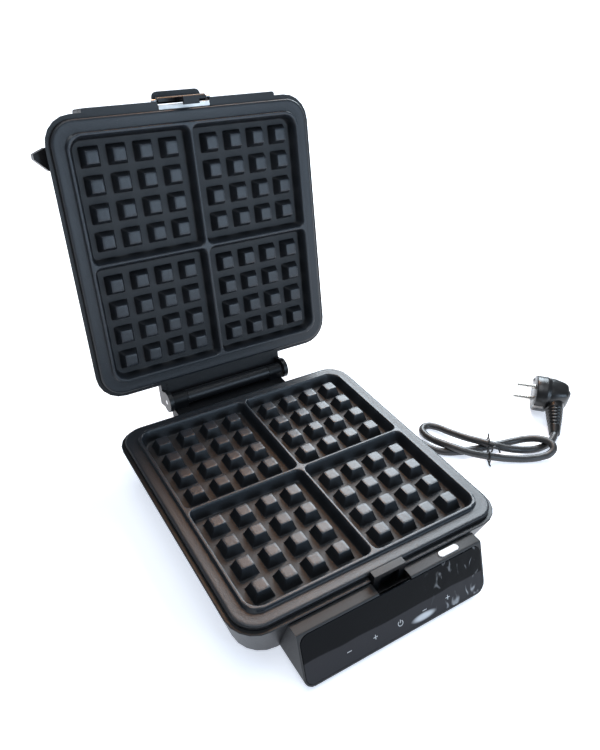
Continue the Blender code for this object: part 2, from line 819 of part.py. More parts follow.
def lid_bar(low, high):
    """The raised bar across the lid's front, as wide as the control box below it."""
    front = -HOUSING_HALF - LID_BAR_DEPTH
    ends = (-LID_BAR_HALF_WIDTH, LID_BAR_HALF_WIDTH)
    shape = box(ends, (front, -HOUSING_HALF + 0.006), (low, high))
    upright = [
        e
        for e in shape.edges
        if abs(e.verts[0].co.z - e.verts[1].co.z) > 1e-6 and all(v.co.y < -HOUSING_HALF for v in e.verts)
    ]
    bmesh.ops.bevel(shape, geom=upright, offset=0.002, segments=3, affect="EDGES", profile=0.5)
    return shape


def lid_frame(lid):
    """The lid's black frame: the ledge for the plate, the front bar and the hinge arms."""
    frame = lid.piece(
        "lid_frame",
        tapered(square(LID_RIM_Z, HOUSING_HALF), square(LID_SPLIT_Z, lid_half(LID_SPLIT_Z)), HOUSING_CORNER),
        "satin_black",
    )
    ledge_z = LID_RIM_Z + LEDGE_THICKNESS
    arm_low = HINGE_Z + KNUCKLE_RADIUS + 0.0012
    arm_front = HOUSING_HALF - 0.004
    lid.join(
        frame,
        lid_bar(LID_RIM_Z, LID_SPLIT_Z),
        box(
            (-KNUCKLE_OUTER, KNUCKLE_OUTER),
            (arm_front, HINGE_Y + 0.002),
            (max(arm_low, LID_RIM_Z), LID_SPLIT_Z),
        ),
        hinge_bar(-KNUCKLE_INNER, KNUCKLE_INNER, KNUCKLE_RADIUS),
        box(
            (-KNUCKLE_INNER, KNUCKLE_INNER),
            (HINGE_Y - 0.0035, HINGE_Y + KNUCKLE_RADIUS * 0.9),
            (HINGE_Z, arm_low + 0.001),
        ),
    )
    for side in (-1, 1):
        inner = side * (KNUCKLE_OUTER + 0.0012)
        outer = inner + side * CHEEK_THICKNESS
        ends = tuple(sorted((inner, outer)))
        over = tuple(sorted((inner - side * 0.006, outer)))
        lid.join(
            frame,
            hinge_bar(*ends, CHEEK_RADIUS),
            box(
                ends,
                (HINGE_Y - CHEEK_RADIUS * 0.9, HINGE_Y + CHEEK_RADIUS * 0.7),
                (HINGE_Z + CHEEK_RADIUS * 0.4, LID_SPLIT_Z),
            ),
            box(over, (arm_front, HINGE_Y + 0.002), (arm_low + 0.001, LID_SPLIT_Z)),
        )
    lid.cut(
        frame,
        tapered(
            square(ledge_z, lid_half(ledge_z) - WALL),
            square(LID_SPLIT_Z + 0.002, lid_half(LID_SPLIT_Z) - WALL),
            HOUSING_CORNER - WALL,
        ),
        tapered(
            square(LID_RIM_Z - 0.001, LIP_HALF + 0.0022),
            square(ledge_z + 0.001, LIP_HALF + 0.0022),
            POCKET_CORNER + LIP_WIDTH + 0.0022,
        ),
        latch_recess(),
        latch_plate_room(GAP),
        hinge_bar(-0.1, 0.1, HINGE_PIN_RADIUS + GAP),
        latch_rod(LATCH_PIN_RADIUS + GAP, 0.003),
    )
    return frame


def lid_cover(lid):
    """The lid's outer shell over the frame, open towards it."""
    low = LID_SPLIT_Z + GAP
    shell = lid.piece(
        "lid_cover",
        tapered(square(low, lid_half(low)), square(LID_TOP_Z, lid_half(LID_TOP_Z)), HOUSING_CORNER, LID_EDGE),
        "dark_grey",
    )
    lid.join(shell, lid_bar(low, LID_RIM_Z + 0.026))
    inner_top = LID_TOP_Z - WALL
    lid.cut(
        shell,
        tapered(
            square(low - 0.002, lid_half(low) - WALL),
            square(inner_top, lid_half(inner_top) - WALL),
            HOUSING_CORNER - WALL,
            LID_EDGE - WALL,
        ),
        latch_recess(),
        box(*upper_release_slot()),
        latch_rod(LATCH_PIN_RADIUS + GAP, 0.003),
    )
    for row in range(5):
        y = HOUSING_HALF - 0.052 + 0.008 * row
        lid.cut(shell, prism(stadium((0, y), 0.034, 0.0016, steps=4), LID_TOP_Z - 0.006, LID_TOP_Z + 0.002))
    return shell


def latch_plate_room(grow):
    """The steel latch plate's outline in the lid's front, which faces down when the lid is shut."""
    side = LATCH_HALF_WIDTH + 0.0012 + grow
    return box(
        (-side, side),
        (-HOUSING_HALF - GAP * 2 - grow, -FLANGE_HALF - 0.0006 + grow),
        (LID_RIM_Z - 0.002 if grow else LID_RIM_Z - 0.0002, LID_RIM_Z + 0.0012 + grow),
    )


def latch_plate(lid):
    """The bright steel strip in the lid's front edge that backs the latch."""
    return lid.piece("latch_plate", latch_plate_room(0.0), "steel")


def latch_rod(radius, spare=0.0):
    """A rod on the latch's axis, as its pin or as the hole for it."""
    reach = LATCH_HALF_WIDTH + 0.0046 + spare
    start = (-reach, LATCH_PIN_Y, LATCH_PIN_Z)
    return cylinder(start, (reach, LATCH_PIN_Y, LATCH_PIN_Z), radius, sides=12)


def latch(lid):
    """The swinging latch with its grip and hook, on an empty at its own axis."""
    swing = Group(
        "latch_axis", lid.parts, lid.cutters, at=(0.0, LATCH_PIN_Y, LATCH_PIN_Z), parent=lid
    )
    front = LATCH_FACE_Y - LATCH_THICKNESS
    grip_z = UPPER_PEG_Z + 0.0210
    plate_low = LID_RIM_Z + 0.0020
    hook_low = PEG_TOP_HEIGHT - 0.0068
    sides = (-LATCH_HALF_WIDTH, LATCH_HALF_WIDTH)
    lever = swing.piece("latch_lever", box(sides, (front, LATCH_FACE_Y), (plate_low, grip_z)), "gloss_black")
    grip = [(x, y - HOUSING_HALF - 0.0025) for x, y in rounded_rectangle(LATCH_HALF_WIDTH, 0.0085, 0.0045)]
    barrel = LATCH_PIN_RADIUS + GAP + 0.0012
    swing.join(
        lever,
        prism(grip, grip_z - 0.0012, grip_z + 0.0016),
        cylinder(
            (-LATCH_HALF_WIDTH, LATCH_PIN_Y, LATCH_PIN_Z), (LATCH_HALF_WIDTH, LATCH_PIN_Y, LATCH_PIN_Z), barrel
        ),
        box((-HOOK_HALF_WIDTH, HOOK_HALF_WIDTH), (front, LATCH_FACE_Y), (hook_low, plate_low + 0.001)),
        box(
            (-HOOK_HALF_WIDTH, HOOK_HALF_WIDTH),
            (LATCH_FACE_Y - 0.001, LATCH_FACE_Y + 0.0036),
            (hook_low, hook_low + 0.0024),
        ),
    )
    swing.cut(
        lever,
        box((-0.1, 0.1), (LATCH_FACE_Y, 0.0), (grip_z - 0.004, grip_z + 0.004)),
        latch_rod(LATCH_PIN_RADIUS + GAP, 0.003),
    )
    lid.piece("latch_pin", latch_rod(LATCH_PIN_RADIUS), "steel")
    return lever


def upper_release_slot():
    """The room in the lid's left wall for the upper plate's release."""
    z = LID_RIM_Z + 0.0165
    return ((-HOUSING_HALF - 0.012, -HOUSING_HALF + 0.020), (-0.0945, -0.0765), (z - 0.0055, z + 0.0055))


def upper_release(lid):
    """The wedge on the lid's left side that frees the upper plate when it is pushed in."""
    (_, _), (y0, y1), (z0, z1) = upper_release_slot()
    centre = (y0 + y1) / 2
    group = Group(
        "upper_release_slide",
        lid.parts,
        lid.cutters,
        at=(-HOUSING_HALF, centre, (z0 + z1) / 2),
        parent=lid,
    )
    inner = -LIP_HALF - 0.0030 - RELEASE_TRAVEL - 0.0008
    outer = -HOUSING_HALF - 0.0075
    points = [
        (inner, y0 + GAP),
        (inner, y1 - GAP),
        (-HOUSING_HALF + 0.002, y1 - GAP),
        (outer, centre - 0.001),
        (outer, centre - 0.005),
        (-HOUSING_HALF + 0.002, y0 + GAP),
    ]
    return group.piece("upper_release_button", prism(points, z0 + GAP, z1 - GAP), "satin_black")


# ---------------------------------------------------------------- mains cord and plug


def smooth_points(route, spacing):
    """Points at an even spacing along a Catmull-Rom curve through the route's points."""
    fine = []
    ends = [2 * route[0] - route[1]] + list(route) + [2 * route[-1] - route[-2]]
    for before, start, end, after in zip(ends, ends[1:], ends[2:], ends[3:]):
        for step in range(24):
            t = step / 24
            fine.append(
                0.5
                * (
                    2 * start
                    + (end - before) * t
                    + (2 * before - 5 * start + 4 * end - after) * t * t
                    + (3 * start - before - 3 * end + after) * t**3
                )
            )
    fine.append(route[-1])
    lengths = [0.0]
    for a, b in zip(fine, fine[1:]):
        lengths.append(lengths[-1] + (b - a).length)
    count = max(2, round(lengths[-1] / spacing))
    points = []
    index = 0
    for number in range(count + 1):
        wanted = lengths[-1] * number / count
        while index < len(lengths) - 2 and lengths[index + 1] < wanted:
            index += 1
        share = (wanted - lengths[index]) / (lengths[index + 1] - lengths[index])
        points.append(fine[index].lerp(fine[index + 1], share))
    return points


def cord_exit():
    """Where the cord leaves the gland behind the base."""
    return Vector((CORD_EXIT_X, housing_half(CORD_EXIT_HEIGHT) + GLAND_LENGTH, CORD_EXIT_HEIGHT))


def cord_gland(base):
    """The strain relief in the base's back wall: a flange, a neck in the wall and a tapered sleeve."""
    wall = housing_half(CORD_EXIT_HEIGHT)
    outer = cord_exit().y
    lean = HOUSING_LEAN / (RIM_Z - HOUSING_Z)
    flange = wall + GAP + 0.0080 * lean
    profile = [
        (0.0, outer),
        (CORD_RADIUS + 0.0008, outer),
        (CORD_RADIUS + 0.0028, flange + 0.0022),
        (CORD_RADIUS + 0.0045, flange + 0.0020),
        (CORD_RADIUS + 0.0045, flange),
        (CORD_RADIUS + 0.0021, flange),
        (CORD_RADIUS + 0.0021, wall - 0.008),
        (0.0, wall - 0.008),
    ]
    turn = Matrix.Translation((CORD_EXIT_X, 0.0, CORD_EXIT_HEIGHT)) @ Matrix.Rotation(-math.pi / 2, 4, "X")
    return base.piece("cord_gland", turned(profile, turn), "rubber")


def cord_run(base):
    """The cord from the gland, round the back corner of the base and along its side to the hank."""
    exit_point = cord_exit() + Vector((0.0, 2 * GAP, 0.0))
    lie = CORD_RADIUS + 0.0002
    route = [
        exit_point,
        exit_point + Vector((0.0, 0.008, -0.0005)),
        Vector((-0.0420, 0.1545, 0.0100)),
        Vector((-0.0290, 0.1680, lie + 0.0015)),
        Vector((0.0050, 0.1755, lie)),
        Vector((0.0500, 0.1710, lie)),
        Vector((0.0950, 0.1510, lie)),
        Vector((0.1290, 0.1180, lie)),
        Vector((0.1435, 0.0800, lie)),
        Vector((0.1460, 0.0500, lie)),
        hank_point(-HANK_HALF_LENGTH - 0.008, 0.0, lie),
        hank_point(-HANK_HALF_LENGTH - 2 * GAP, 0.0, lie),
    ]
    return base.place_tube("cord_run", smooth_points(route, 0.0105))


def hank_point(along, across, z):
    """A point in the hank's own directions."""
    turn = Matrix.Rotation(HANK_ANGLE, 2)
    flat = HANK_CENTRE + turn @ Vector((along, across))
    return Vector((flat.x, flat.y, z))


def tail_start():
    """Where the cord's tail meets the hank, on the line of the plug's sleeve."""
    return plug_local(-RELIEF_SETBACK, RELIEF_END + TAIL_LENGTH, 0.0)


def cord_hank(base):
    """The outer shape of the bundled cord, as a flat solid with a lug where the tail leaves it."""
    outline = rounded_rectangle(HANK_HALF_LENGTH, HANK_HALF_WIDTH, HANK_CORNER)
    shape = prism(outline, 0.0, HANK_HEIGHT)
    turn = Matrix.Translation((HANK_CENTRE.x, HANK_CENTRE.y, 0.0)) @ Matrix.Rotation(HANK_ANGLE, 4, "Z")
    bmesh.ops.transform(shape, matrix=turn, verts=shape.verts)
    hank = base.piece("cord_hank", shape, "cord")
    half = CORD_RADIUS + 0.0006
    lug = box((-half - 0.012, half), (-0.016, -2 * GAP), (0.0, 2 * CORD_RADIUS + 0.0006))
    start = tail_start()
    toward = plug_local(-RELIEF_SETBACK, RELIEF_END, 0.0) - start
    facing = Matrix.Rotation(math.atan2(toward.y, toward.x) - math.pi / 2, 4, "Z")
    bmesh.ops.transform(
        lug, matrix=Matrix.Translation((start.x, start.y, 0.0)) @ facing, verts=lug.verts
    )
    base.join(hank, lug)
    return hank


def plug_matrix():
    """The plug's own frame: pins along +X, one above the other along Z, cord towards -Y."""
    heading = Matrix.Rotation(PLUG_HEADING, 4, "Z")
    roll = Matrix.Rotation(-PLUG_ROLL, 4, "X")
    return Matrix.Translation(PLUG_FACE) @ heading @ roll


def plug_local(x, y, z):
    """A point of the plug's frame in the machine's coordinates."""
    return plug_matrix() @ Vector((x, y, z))


def cord_tail(base):
    """The short free length between the hank and the plug's sleeve."""
    end = plug_local(-RELIEF_SETBACK, RELIEF_END + 2 * GAP, 0.0)
    start = tail_start()
    start.z = max(start.z, CORD_RADIUS + 0.0004)
    return base.place_tube("cord_tail", smooth_points([start, start.lerp(end, 0.5), end], 0.003))


def cord_ties(base):
    """Two wire ties round the hank, each a bent wire standing off its surface."""
    for number, along in enumerate((-0.0015, 0.0090), 1):
        half = HANK_HALF_WIDTH + 0.0018
        top = HANK_HEIGHT + 0.0018
        corners = [
            hank_point(along, -half, 0.0012),
            hank_point(along, -half, top - 0.0012),
            hank_point(along, -half + 0.0012, top),
            hank_point(along, half - 0.0012, top),
            hank_point(along, half, top - 0.0012),
            hank_point(along, half, 0.0012),
        ]
        tie = wire("tie", [tuple(c) for c in corners], 0.0008)
        base.piece(f"cord_tie_{number}", meshed(tie), "wire_tie")


def plug(base):
    """The angled two-pin plug with its pins and its sleeve, lying on its side."""
    frame = plug_matrix()
    along_x = frame @ Matrix.Rotation(math.pi / 2, 4, "Y")
    face = [
        (0.0, 0.0),
        (PLUG_RADIUS - 0.0012, 0.0),
        (PLUG_RADIUS, -0.0012),
        (PLUG_RADIUS, -0.0200),
        (PLUG_RADIUS - 0.0050, -0.0300),
        (PLUG_RADIUS - 0.0080, -0.0330),
        (0.0, -0.0330),
    ]
    body = base.piece("plug_body", turned(face, along_x, steps=28), "cord")
    sleeve = [
        (0.0, RELIEF_END),
        (CORD_RADIUS + 0.0012, RELIEF_END),
        (CORD_RADIUS + 0.0036, RELIEF_END - 0.020),
        (CORD_RADIUS + 0.0050, PLUG_RADIUS - 0.004),
        (CORD_RADIUS + 0.0050, 0.0),
        (0.0, 0.0),
    ]
    along_y = frame @ Matrix.Translation((-RELIEF_SETBACK, 0.0, 0.0)) @ Matrix.Rotation(-math.pi / 2, 4, "X")
    base.join(body, turned(sleeve, along_y, steps=16))
    half = PLUG_PIN_SPACING / 2
    for side, name in ((1, "plug_pin_1"), (-1, "plug_pin_2")):
        start = frame @ Vector((GAP, 0.0, side * half))
        end = frame @ Vector((PLUG_PIN_LENGTH, 0.0, side * half))
        base.piece(name, cylinder(start, end, PLUG_PIN_RADIUS, sides=14), "steel")


# ---------------------------------------------------------------- whole machine


class Machine(Group):
    """The machine's root group, which also places the cord's tubes."""

    def place_tube(self, name, points):
        tube = wire(name, [tuple(p) for p in points], CORD_RADIUS)
        tube.data.materials.append(finish_of("cord"))
        self.parts.objects.link(tube)
        return self.place(tube)


CORD_PIECES = ("cord_run", "cord_hank", "cord_tail", "cord_tie", "plug")


def centre_footprint(root):
    """Moves the machine so that the middle of its own footprint, without the cord, is the origin."""
    bpy.context.view_layer.update()
    graph = bpy.context.evaluated_depsgraph_get()
    corners = []
    for obj in root.parts.objects:
        if obj.type == "EMPTY" or obj.name.startswith(CORD_PIECES):
            continue
        evaluated = obj.evaluated_get(graph)
        mesh = evaluated.to_mesh()
        corners += [evaluated.matrix_world @ vert.co for vert in mesh.vertices]
        evaluated.to_mesh_clear()
    for axis in (0, 1):
        values = [corner[axis] for corner in corners]
        root.empty.location[axis] = -(min(values) + max(values)) / 2


def main():
    """Builds the whole machine with its lid open."""
    clear_scene()
    parts = new_collection("waffle_maker")
    cutters = new_collection("cutters", hidden=True)
    base = Machine("machine", parts, cutters)
    lid = Group(
        "lid_axis",
        parts,
        cutters,
        at=(0.0, HINGE_Y, HINGE_Z),
        turned=Euler((-LID_OPEN_ANGLE, 0.0, 0.0)),
        parent=base,
    )
    base_housing(base)
    base_bottom(base)
    feet(base)
    cover_screws(base)
    control_box(base)
    control_panel(base)
    control_board(base)
    lower_release(base)
    latch_catch(base)
    hinge_bracket(base)
    hinge_pin(base)
    waffle_plate(base, "lower_waffle_plate", PEG_TOP_HEIGHT, faces_down=False)
    heating_element(base, "lower_heating_element", PEG_TOP_HEIGHT + PLATE_BOTTOM - GAP - ELEMENT_RADIUS)
    heat_shield(base, "lower_heat_shield", RIM_Z - LEDGE_THICKNESS - GAP, 0.0150, 0.0086)
    inside_base(base)
    lid_frame(lid)
    lid_cover(lid)
    waffle_plate(lid, "upper_waffle_plate", UPPER_PEG_Z, faces_down=True)
    heating_element(lid, "upper_heating_element", UPPER_PEG_Z - PLATE_BOTTOM + GAP + ELEMENT_RADIUS)
    heat_shield(lid, "upper_heat_shield", LID_RIM_Z + LEDGE_THICKNESS + GAP, -0.0150, 0.0)
    latch_plate(lid)
    latch(lid)
    upper_release(lid)
    cord_gland(base)
    cord_run(base)
    cord_hank(base)
    cord_ties(base)
    cord_tail(base)
    plug(base)
    centre_footprint(base)


main()
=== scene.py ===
"""Looks of a waffle maker that stands open beside its bundled mains cord.

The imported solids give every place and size. This script adds the cord, the cast
plates, the printed panel and the plug as finished surfaces, and gives each solid
a procedural finish. All lengths are in metres, in the frame of the solids.
"""

import json
import logging
import math
from dataclasses import dataclass, field
from enum import Enum
from typing import Iterable, Sequence

import bpy
import numpy as np
from mathutils import Matrix, Vector


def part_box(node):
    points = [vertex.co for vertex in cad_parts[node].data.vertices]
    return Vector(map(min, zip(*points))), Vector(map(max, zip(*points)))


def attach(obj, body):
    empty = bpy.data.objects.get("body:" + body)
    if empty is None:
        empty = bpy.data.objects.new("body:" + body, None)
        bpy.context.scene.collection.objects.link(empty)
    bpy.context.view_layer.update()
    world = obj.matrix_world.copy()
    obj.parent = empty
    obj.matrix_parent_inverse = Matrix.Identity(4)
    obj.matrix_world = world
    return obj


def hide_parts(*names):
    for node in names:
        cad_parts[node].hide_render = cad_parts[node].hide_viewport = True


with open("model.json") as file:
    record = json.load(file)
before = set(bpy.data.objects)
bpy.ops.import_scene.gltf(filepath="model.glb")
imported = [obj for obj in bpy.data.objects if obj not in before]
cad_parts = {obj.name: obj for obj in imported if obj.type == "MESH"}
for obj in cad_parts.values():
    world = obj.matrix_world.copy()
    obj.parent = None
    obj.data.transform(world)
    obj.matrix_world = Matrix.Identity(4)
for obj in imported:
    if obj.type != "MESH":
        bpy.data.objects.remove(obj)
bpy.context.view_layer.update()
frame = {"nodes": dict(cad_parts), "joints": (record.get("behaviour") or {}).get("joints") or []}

Colour = tuple[float, float, float]
Point = tuple[float, float, float]
Pair = tuple[float, float]
Array = np.ndarray
# The vertices and the quads of a surface, one row each.
Surface = tuple[Array, Array]
Material = bpy.types.Material

LOG = logging.getLogger("waffle_maker")
MM = 0.001


# ---- shader maths


class Flow:
    """A number or colour that leaves one socket, with arithmetic that adds maths nodes."""

    def __init__(self, sheet: "NodeSheet", socket: bpy.types.NodeSocket) -> None:
        """Keep the sheet that owns the socket.

        Args:
            sheet: The node sheet that new nodes are added to.
            socket: The output socket that carries the value.
        """
        self.sheet = sheet
        self.socket = socket

    def __add__(self, other: object) -> "Flow":
        """Sum of this value and another."""
        return self.sheet.maths("ADD", self, other)

    def __radd__(self, other: object) -> "Flow":
        """Sum of a number and this value."""
        return self.sheet.maths("ADD", other, self)

    def __sub__(self, other: object) -> "Flow":
        """This value less another."""
        return self.sheet.maths("SUBTRACT", self, other)

    def __rsub__(self, other: object) -> "Flow":
        """A number less this value."""
        return self.sheet.maths("SUBTRACT", other, self)

    def __mul__(self, other: object) -> "Flow":
        """Product of this value and another."""
        return self.sheet.maths("MULTIPLY", self, other)

    def __rmul__(self, other: object) -> "Flow":
        """Product of a number and this value."""
        return self.sheet.maths("MULTIPLY", other, self)

    def __truediv__(self, other: object) -> "Flow":
        """This value over another."""
        return self.sheet.maths("DIVIDE", self, other)

    def __rtruediv__(self, other: object) -> "Flow":
        """A number over this value."""
        return self.sheet.maths("DIVIDE", other, self)

    def __pow__(self, other: object) -> "Flow":
        """This value to a power."""
        return self.sheet.maths("POWER", self, other)

    def rising(self, low: float, high: float) -> "Flow":
        """Smooth step of this value, 0 at low and 1 at high."""
        return self.sheet.rising(self, low, high)


class NodeSheet:
    """The node tree of one material, with one method for every kind of node."""

    def __init__(self, name: str) -> None:
        """Start an empty material.

        Args:
            name: The material's name.
        """
        self.material = bpy.data.materials.new(name)
        self.material.use_nodes = True
        self.tree = self.material.node_tree
        self.tree.nodes.clear()
        self.shader = self.node("ShaderNodeBsdfPrincipled")
        output = self.node("ShaderNodeOutputMaterial")
        self.tree.links.new(self.shader.outputs["BSDF"], output.inputs["Surface"])

    def node(
        self, kind: str, inputs: dict[object, object] | None = None, **settings: object
    ) -> bpy.types.Node:
        """Add a node.

        Args:
            kind: Blender's identifier of the node.
            inputs: Values or flows by socket name or number.
            **settings: Attributes of the node itself.

        Returns:
            The new node.
        """
        made = self.tree.nodes.new(kind)
        for key, value in settings.items():
            setattr(made, key, value)
        for key, value in (inputs or {}).items():
            self.feed(made.inputs[key], value)
        return made

    def feed(self, socket: bpy.types.NodeSocket, value: object) -> None:
        """Link a flow to a socket, or set the socket's own value."""
        if isinstance(value, Flow):
            self.tree.links.new(value.socket, socket)
        else:
            socket.default_value = value

    def flow(self, kind: str, output: object, inputs: dict[object, object], **settings: object) -> Flow:
        """Add a node and return what leaves one of its outputs, given by name or number."""
        return Flow(self, self.node(kind, inputs, **settings).outputs[output])

    def maths(self, operation: str, first: object, second: object) -> Flow:
        """Return a maths node's result for two numbers or flows."""
        return self.flow("ShaderNodeMath", 0, {0: first, 1: second}, operation=operation)

    def rising(self, value: Flow, low: float, high: float) -> Flow:
        """Return the smooth step of a flow between two values."""
        inputs = {"Value": value, "From Min": low, "From Max": high}
        return self.flow("ShaderNodeMapRange", "Result", inputs, interpolation_type="SMOOTHSTEP")

    def places(self, scale: Point = (1.0, 1.0, 1.0)) -> Flow:
        """Return Object coordinates, multiplied by scale."""
        source = self.flow("ShaderNodeTexCoord", "Object", {})
        return self.flow("ShaderNodeMapping", "Vector", {"Vector": source, "Scale": scale})

    def noise(self, places: Flow, scale: float, detail: float = 2.0, roughness: float = 0.5) -> Flow:
        """Return fractal noise of that many cells a metre."""
        inputs = {"Vector": places, "Scale": scale, "Detail": detail, "Roughness": roughness}
        return self.flow("ShaderNodeTexNoise", "Fac", inputs)

    def mix(self, share: object, first: object, second: object) -> Flow:
        """Return a colour between first and second, by share."""
        return self.flow("ShaderNodeMix", 2, {0: share, 6: first, 7: second}, data_type="RGBA")

    def bump(self, height: Flow, depth: float, strength: float) -> Flow:
        """Return the normal of a surface raised by height times depth."""
        inputs = {"Height": height, "Distance": depth, "Strength": strength}
        return self.flow("ShaderNodeBump", "Normal", inputs)

    def set(self, **values: object) -> None:
        """Feed the surface shader's sockets, with _ for a space in a name."""
        for name, value in values.items():
            self.feed(self.shader.inputs[name.replace("_", " ")], value)



def rgba(colour: Colour, gain: float = 1.0) -> tuple[float, float, float, float]:
    """Return a colour with alpha, brightened by gain."""
    return (colour[0] * gain, colour[1] * gain, colour[2] * gain, 1.0)


# ---- finishes


@dataclass(frozen=True)
class NonStickCoat:
    """Dark sprayed coating on cast aluminium: fine orange peel, pale flecks, uneven gloss, with a painted
    highlight on the peg tops and painted shade in the hollows.
    """

    name: str = "non_stick_coating"
    colour: Colour = (0.004, 0.0056, 0.008)
    # Colour of the painted highlight on the peg tops and lip.
    lit_tops: Colour = (0.011, 0.0148, 0.0205)
    fleck: Colour = (0.11, 0.12, 0.135)
    roughness: float = 0.26

    def paint(self) -> Material:
        """Return the coating's material."""
        sheet = NodeSheet(self.name)
        places = sheet.places()
        clouds = sheet.noise(places, 34.0, 4.0, 0.6)
        grain = sheet.noise(places, 1500.0, 3.0, 0.65)
        flecks = sheet.noise(places, 2600.0, 1.0, 0.4).rising(0.66, 0.8)
        peel = sheet.noise(places, 620.0, 2.0, 0.5)
        level = sheet.flow("ShaderNodeAttribute", "Fac", {}, attribute_name="level")
        # Painted light: a high level on the peg tops and lip gives a lighter colour and more pale flecks, a
        # painted highlight. The pocket floors stay darker, as painted shade.
        lit_tops = level.rising(0.55, 1.0)
        body = sheet.mix(clouds.rising(0.3, 0.72), rgba(self.colour, 0.8), rgba(self.colour, 1.28))
        top = sheet.mix(lit_tops, body, rgba(self.lit_tops))
        sheet.set(
            Base_Color=sheet.mix(flecks * (0.15 + 0.5 * lit_tops), top, rgba(self.fleck)),
            Roughness=self.roughness + 0.1 * clouds + 0.14 * grain + 0.16 * (1.0 - lit_tops),
            Normal=sheet.bump(grain * 0.6 + peel * 0.4, 0.00018, 1.0),
            Specular_IOR_Level=0.5,
        )
        return sheet.material


class Moulding(Enum):
    """How a plastic tool's surface was finished, as (grain a metre, bump depth)."""

    SPARK_ERODED = (2300.0, 0.000045)
    SATIN = (3400.0, 0.000022)
    POLISHED = (420.0, 0.000006)


@dataclass(frozen=True)
class MouldedPlastic:
    """Injection-moulded plastic with the tool's grain, soft mottling and rubbed spots."""

    name: str
    colour: Colour
    roughness: float
    moulding: Moulding = Moulding.SPARK_ERODED
    shine: float = 0.5

    def paint(self) -> Material:
        """Return the plastic's material."""
        grain_scale, depth = self.moulding.value
        sheet = NodeSheet(self.name)
        places = sheet.places()
        grain = sheet.noise(places, grain_scale, 2.0, 0.6)
        mottle = sheet.noise(places, 22.0, 3.0, 0.55)
        rubbed = sheet.noise(places, 9.0, 5.0, 0.62).rising(0.55, 0.75)
        sheet.set(
            Base_Color=sheet.mix(mottle.rising(0.3, 0.7), rgba(self.colour, 0.88), rgba(self.colour, 1.14)),
            Roughness=self.roughness + 0.1 * (grain - 0.5) - 0.07 * rubbed,
            Normal=sheet.bump(grain, depth, 0.9),
            Specular_IOR_Level=self.shine,
        )
        return sheet.material


@dataclass(frozen=True)
class BrushedMetal:
    """Metal with fine grain, drawn out to brush lines by a small stretch, and faint marks."""

    name: str
    colour: Colour
    roughness: float
    stretch: Point = (1.0, 1.0, 1.0)
    tint: Colour = (0.5, 0.5, 0.5)

    def paint(self) -> Material:
        """Return the metal's material."""
        sheet = NodeSheet(self.name)
        lines = sheet.noise(sheet.places(self.stretch), 2400.0, 3.0, 0.7)
        marks = sheet.noise(sheet.places(), 60.0, 3.0, 0.6).rising(0.45, 0.75)
        sheet.set(
            Base_Color=sheet.mix(marks * 0.5, rgba(self.colour), rgba(self.tint)),
            Metallic=1.0,
            Roughness=self.roughness + 0.16 * (lines - 0.5) + 0.08 * marks,
            Normal=sheet.bump(lines, 0.000012, 0.7),
        )
        return sheet.material


@dataclass(frozen=True)
class SoftRubber:
    """Smooth extruded or moulded rubber with a dusty bloom."""

    name: str
    colour: Colour
    roughness: float

    def paint(self) -> Material:
        """Return the rubber's material."""
        sheet = NodeSheet(self.name)
        places = sheet.places()
        bloom = sheet.noise(places, 95.0, 4.0, 0.6).rising(0.42, 0.78)
        grain = sheet.noise(places, 1800.0, 2.0, 0.5)
        sheet.set(
            Base_Color=sheet.mix(bloom * 0.5, rgba(self.colour), rgba(self.colour, 1.9)),
            Roughness=self.roughness + 0.12 * bloom,
            Normal=sheet.bump(grain, 0.00003, 0.7),
        )
        return sheet.material


@dataclass(frozen=True)
class FilmedGlass:
    """Black glossy panel under a thin protective film that has crept into a few creases, with a painted
    glare and painted highlights along the creases.
    """

    name: str = "panel_glass"
    colour: Colour = (0.002, 0.0028, 0.004)
    haze: Colour = (0.034, 0.034, 0.038)
    # Colour of the painted glare and the painted crease highlights.
    reflection: Colour = (0.75, 0.78, 0.82)
    creases: Pair = (0.026, 0.052)
    glare_x: float = 0.0255
    glare_z: float = 0.01
    glare_long: float = 0.0125
    glare_high: float = 0.0032
    strip_top: float = 0.021
    strip_blur: float = 0.0006

    def paint(self) -> Material:
        """Return the panel's material: a clear display above, a hazier touch strip below."""
        sheet = NodeSheet(self.name)
        places = sheet.places()
        parts = sheet.node("ShaderNodeSeparateXYZ", {0: places})
        along, up = (Flow(sheet, parts.outputs[axis]) for axis in "XZ")
        drift = sheet.noise(places, 26.0, 1.0, 0.4)
        edge = up + 0.008 * (drift - 0.5)
        strip = 1.0 - edge.rising(self.strip_top - self.strip_blur, self.strip_top + self.strip_blur)
        creased = along.rising(*self.creases)
        folds = sheet.noise(sheet.places((1.0, 1.0, 0.35)), 90.0, 1.5, 0.6)
        ridge = 1.0 - sheet.maths("ABSOLUTE", folds - 0.5, 0.0).rising(0.0, 0.045)
        # Painted reflection: a soft oval of glare and pale streaks along the creases are mixed into the
        # base colour, towards the reflection colour.
        highlight_streaks = sheet.noise(sheet.places((1.0, 1.0, 0.5)), 130.0, 2.0, 0.5)
        waves = sheet.noise(places, 30.0, 1.0, 0.4)
        gx, gz = (along - self.glare_x) / self.glare_long, (up - self.glare_z) / self.glare_high
        glare = 1.0 - (gx * gx + gz * gz + 1.1 * (drift - 0.5)).rising(0.0, 1.0)
        shine = 0.7 * glare + 0.34 * creased * ridge * highlight_streaks.rising(0.52, 0.7)
        body = sheet.mix(strip * 0.9, rgba(self.colour), rgba(self.haze))
        sheet.set(
            Base_Color=sheet.mix(shine, body, rgba(self.reflection)),
            Roughness=0.07 + 0.16 * strip,
            Normal=sheet.bump(waves * 0.6 + folds * creased, 0.0011, 0.45),
            Specular_IOR_Level=0.06,
        )
        return sheet.material


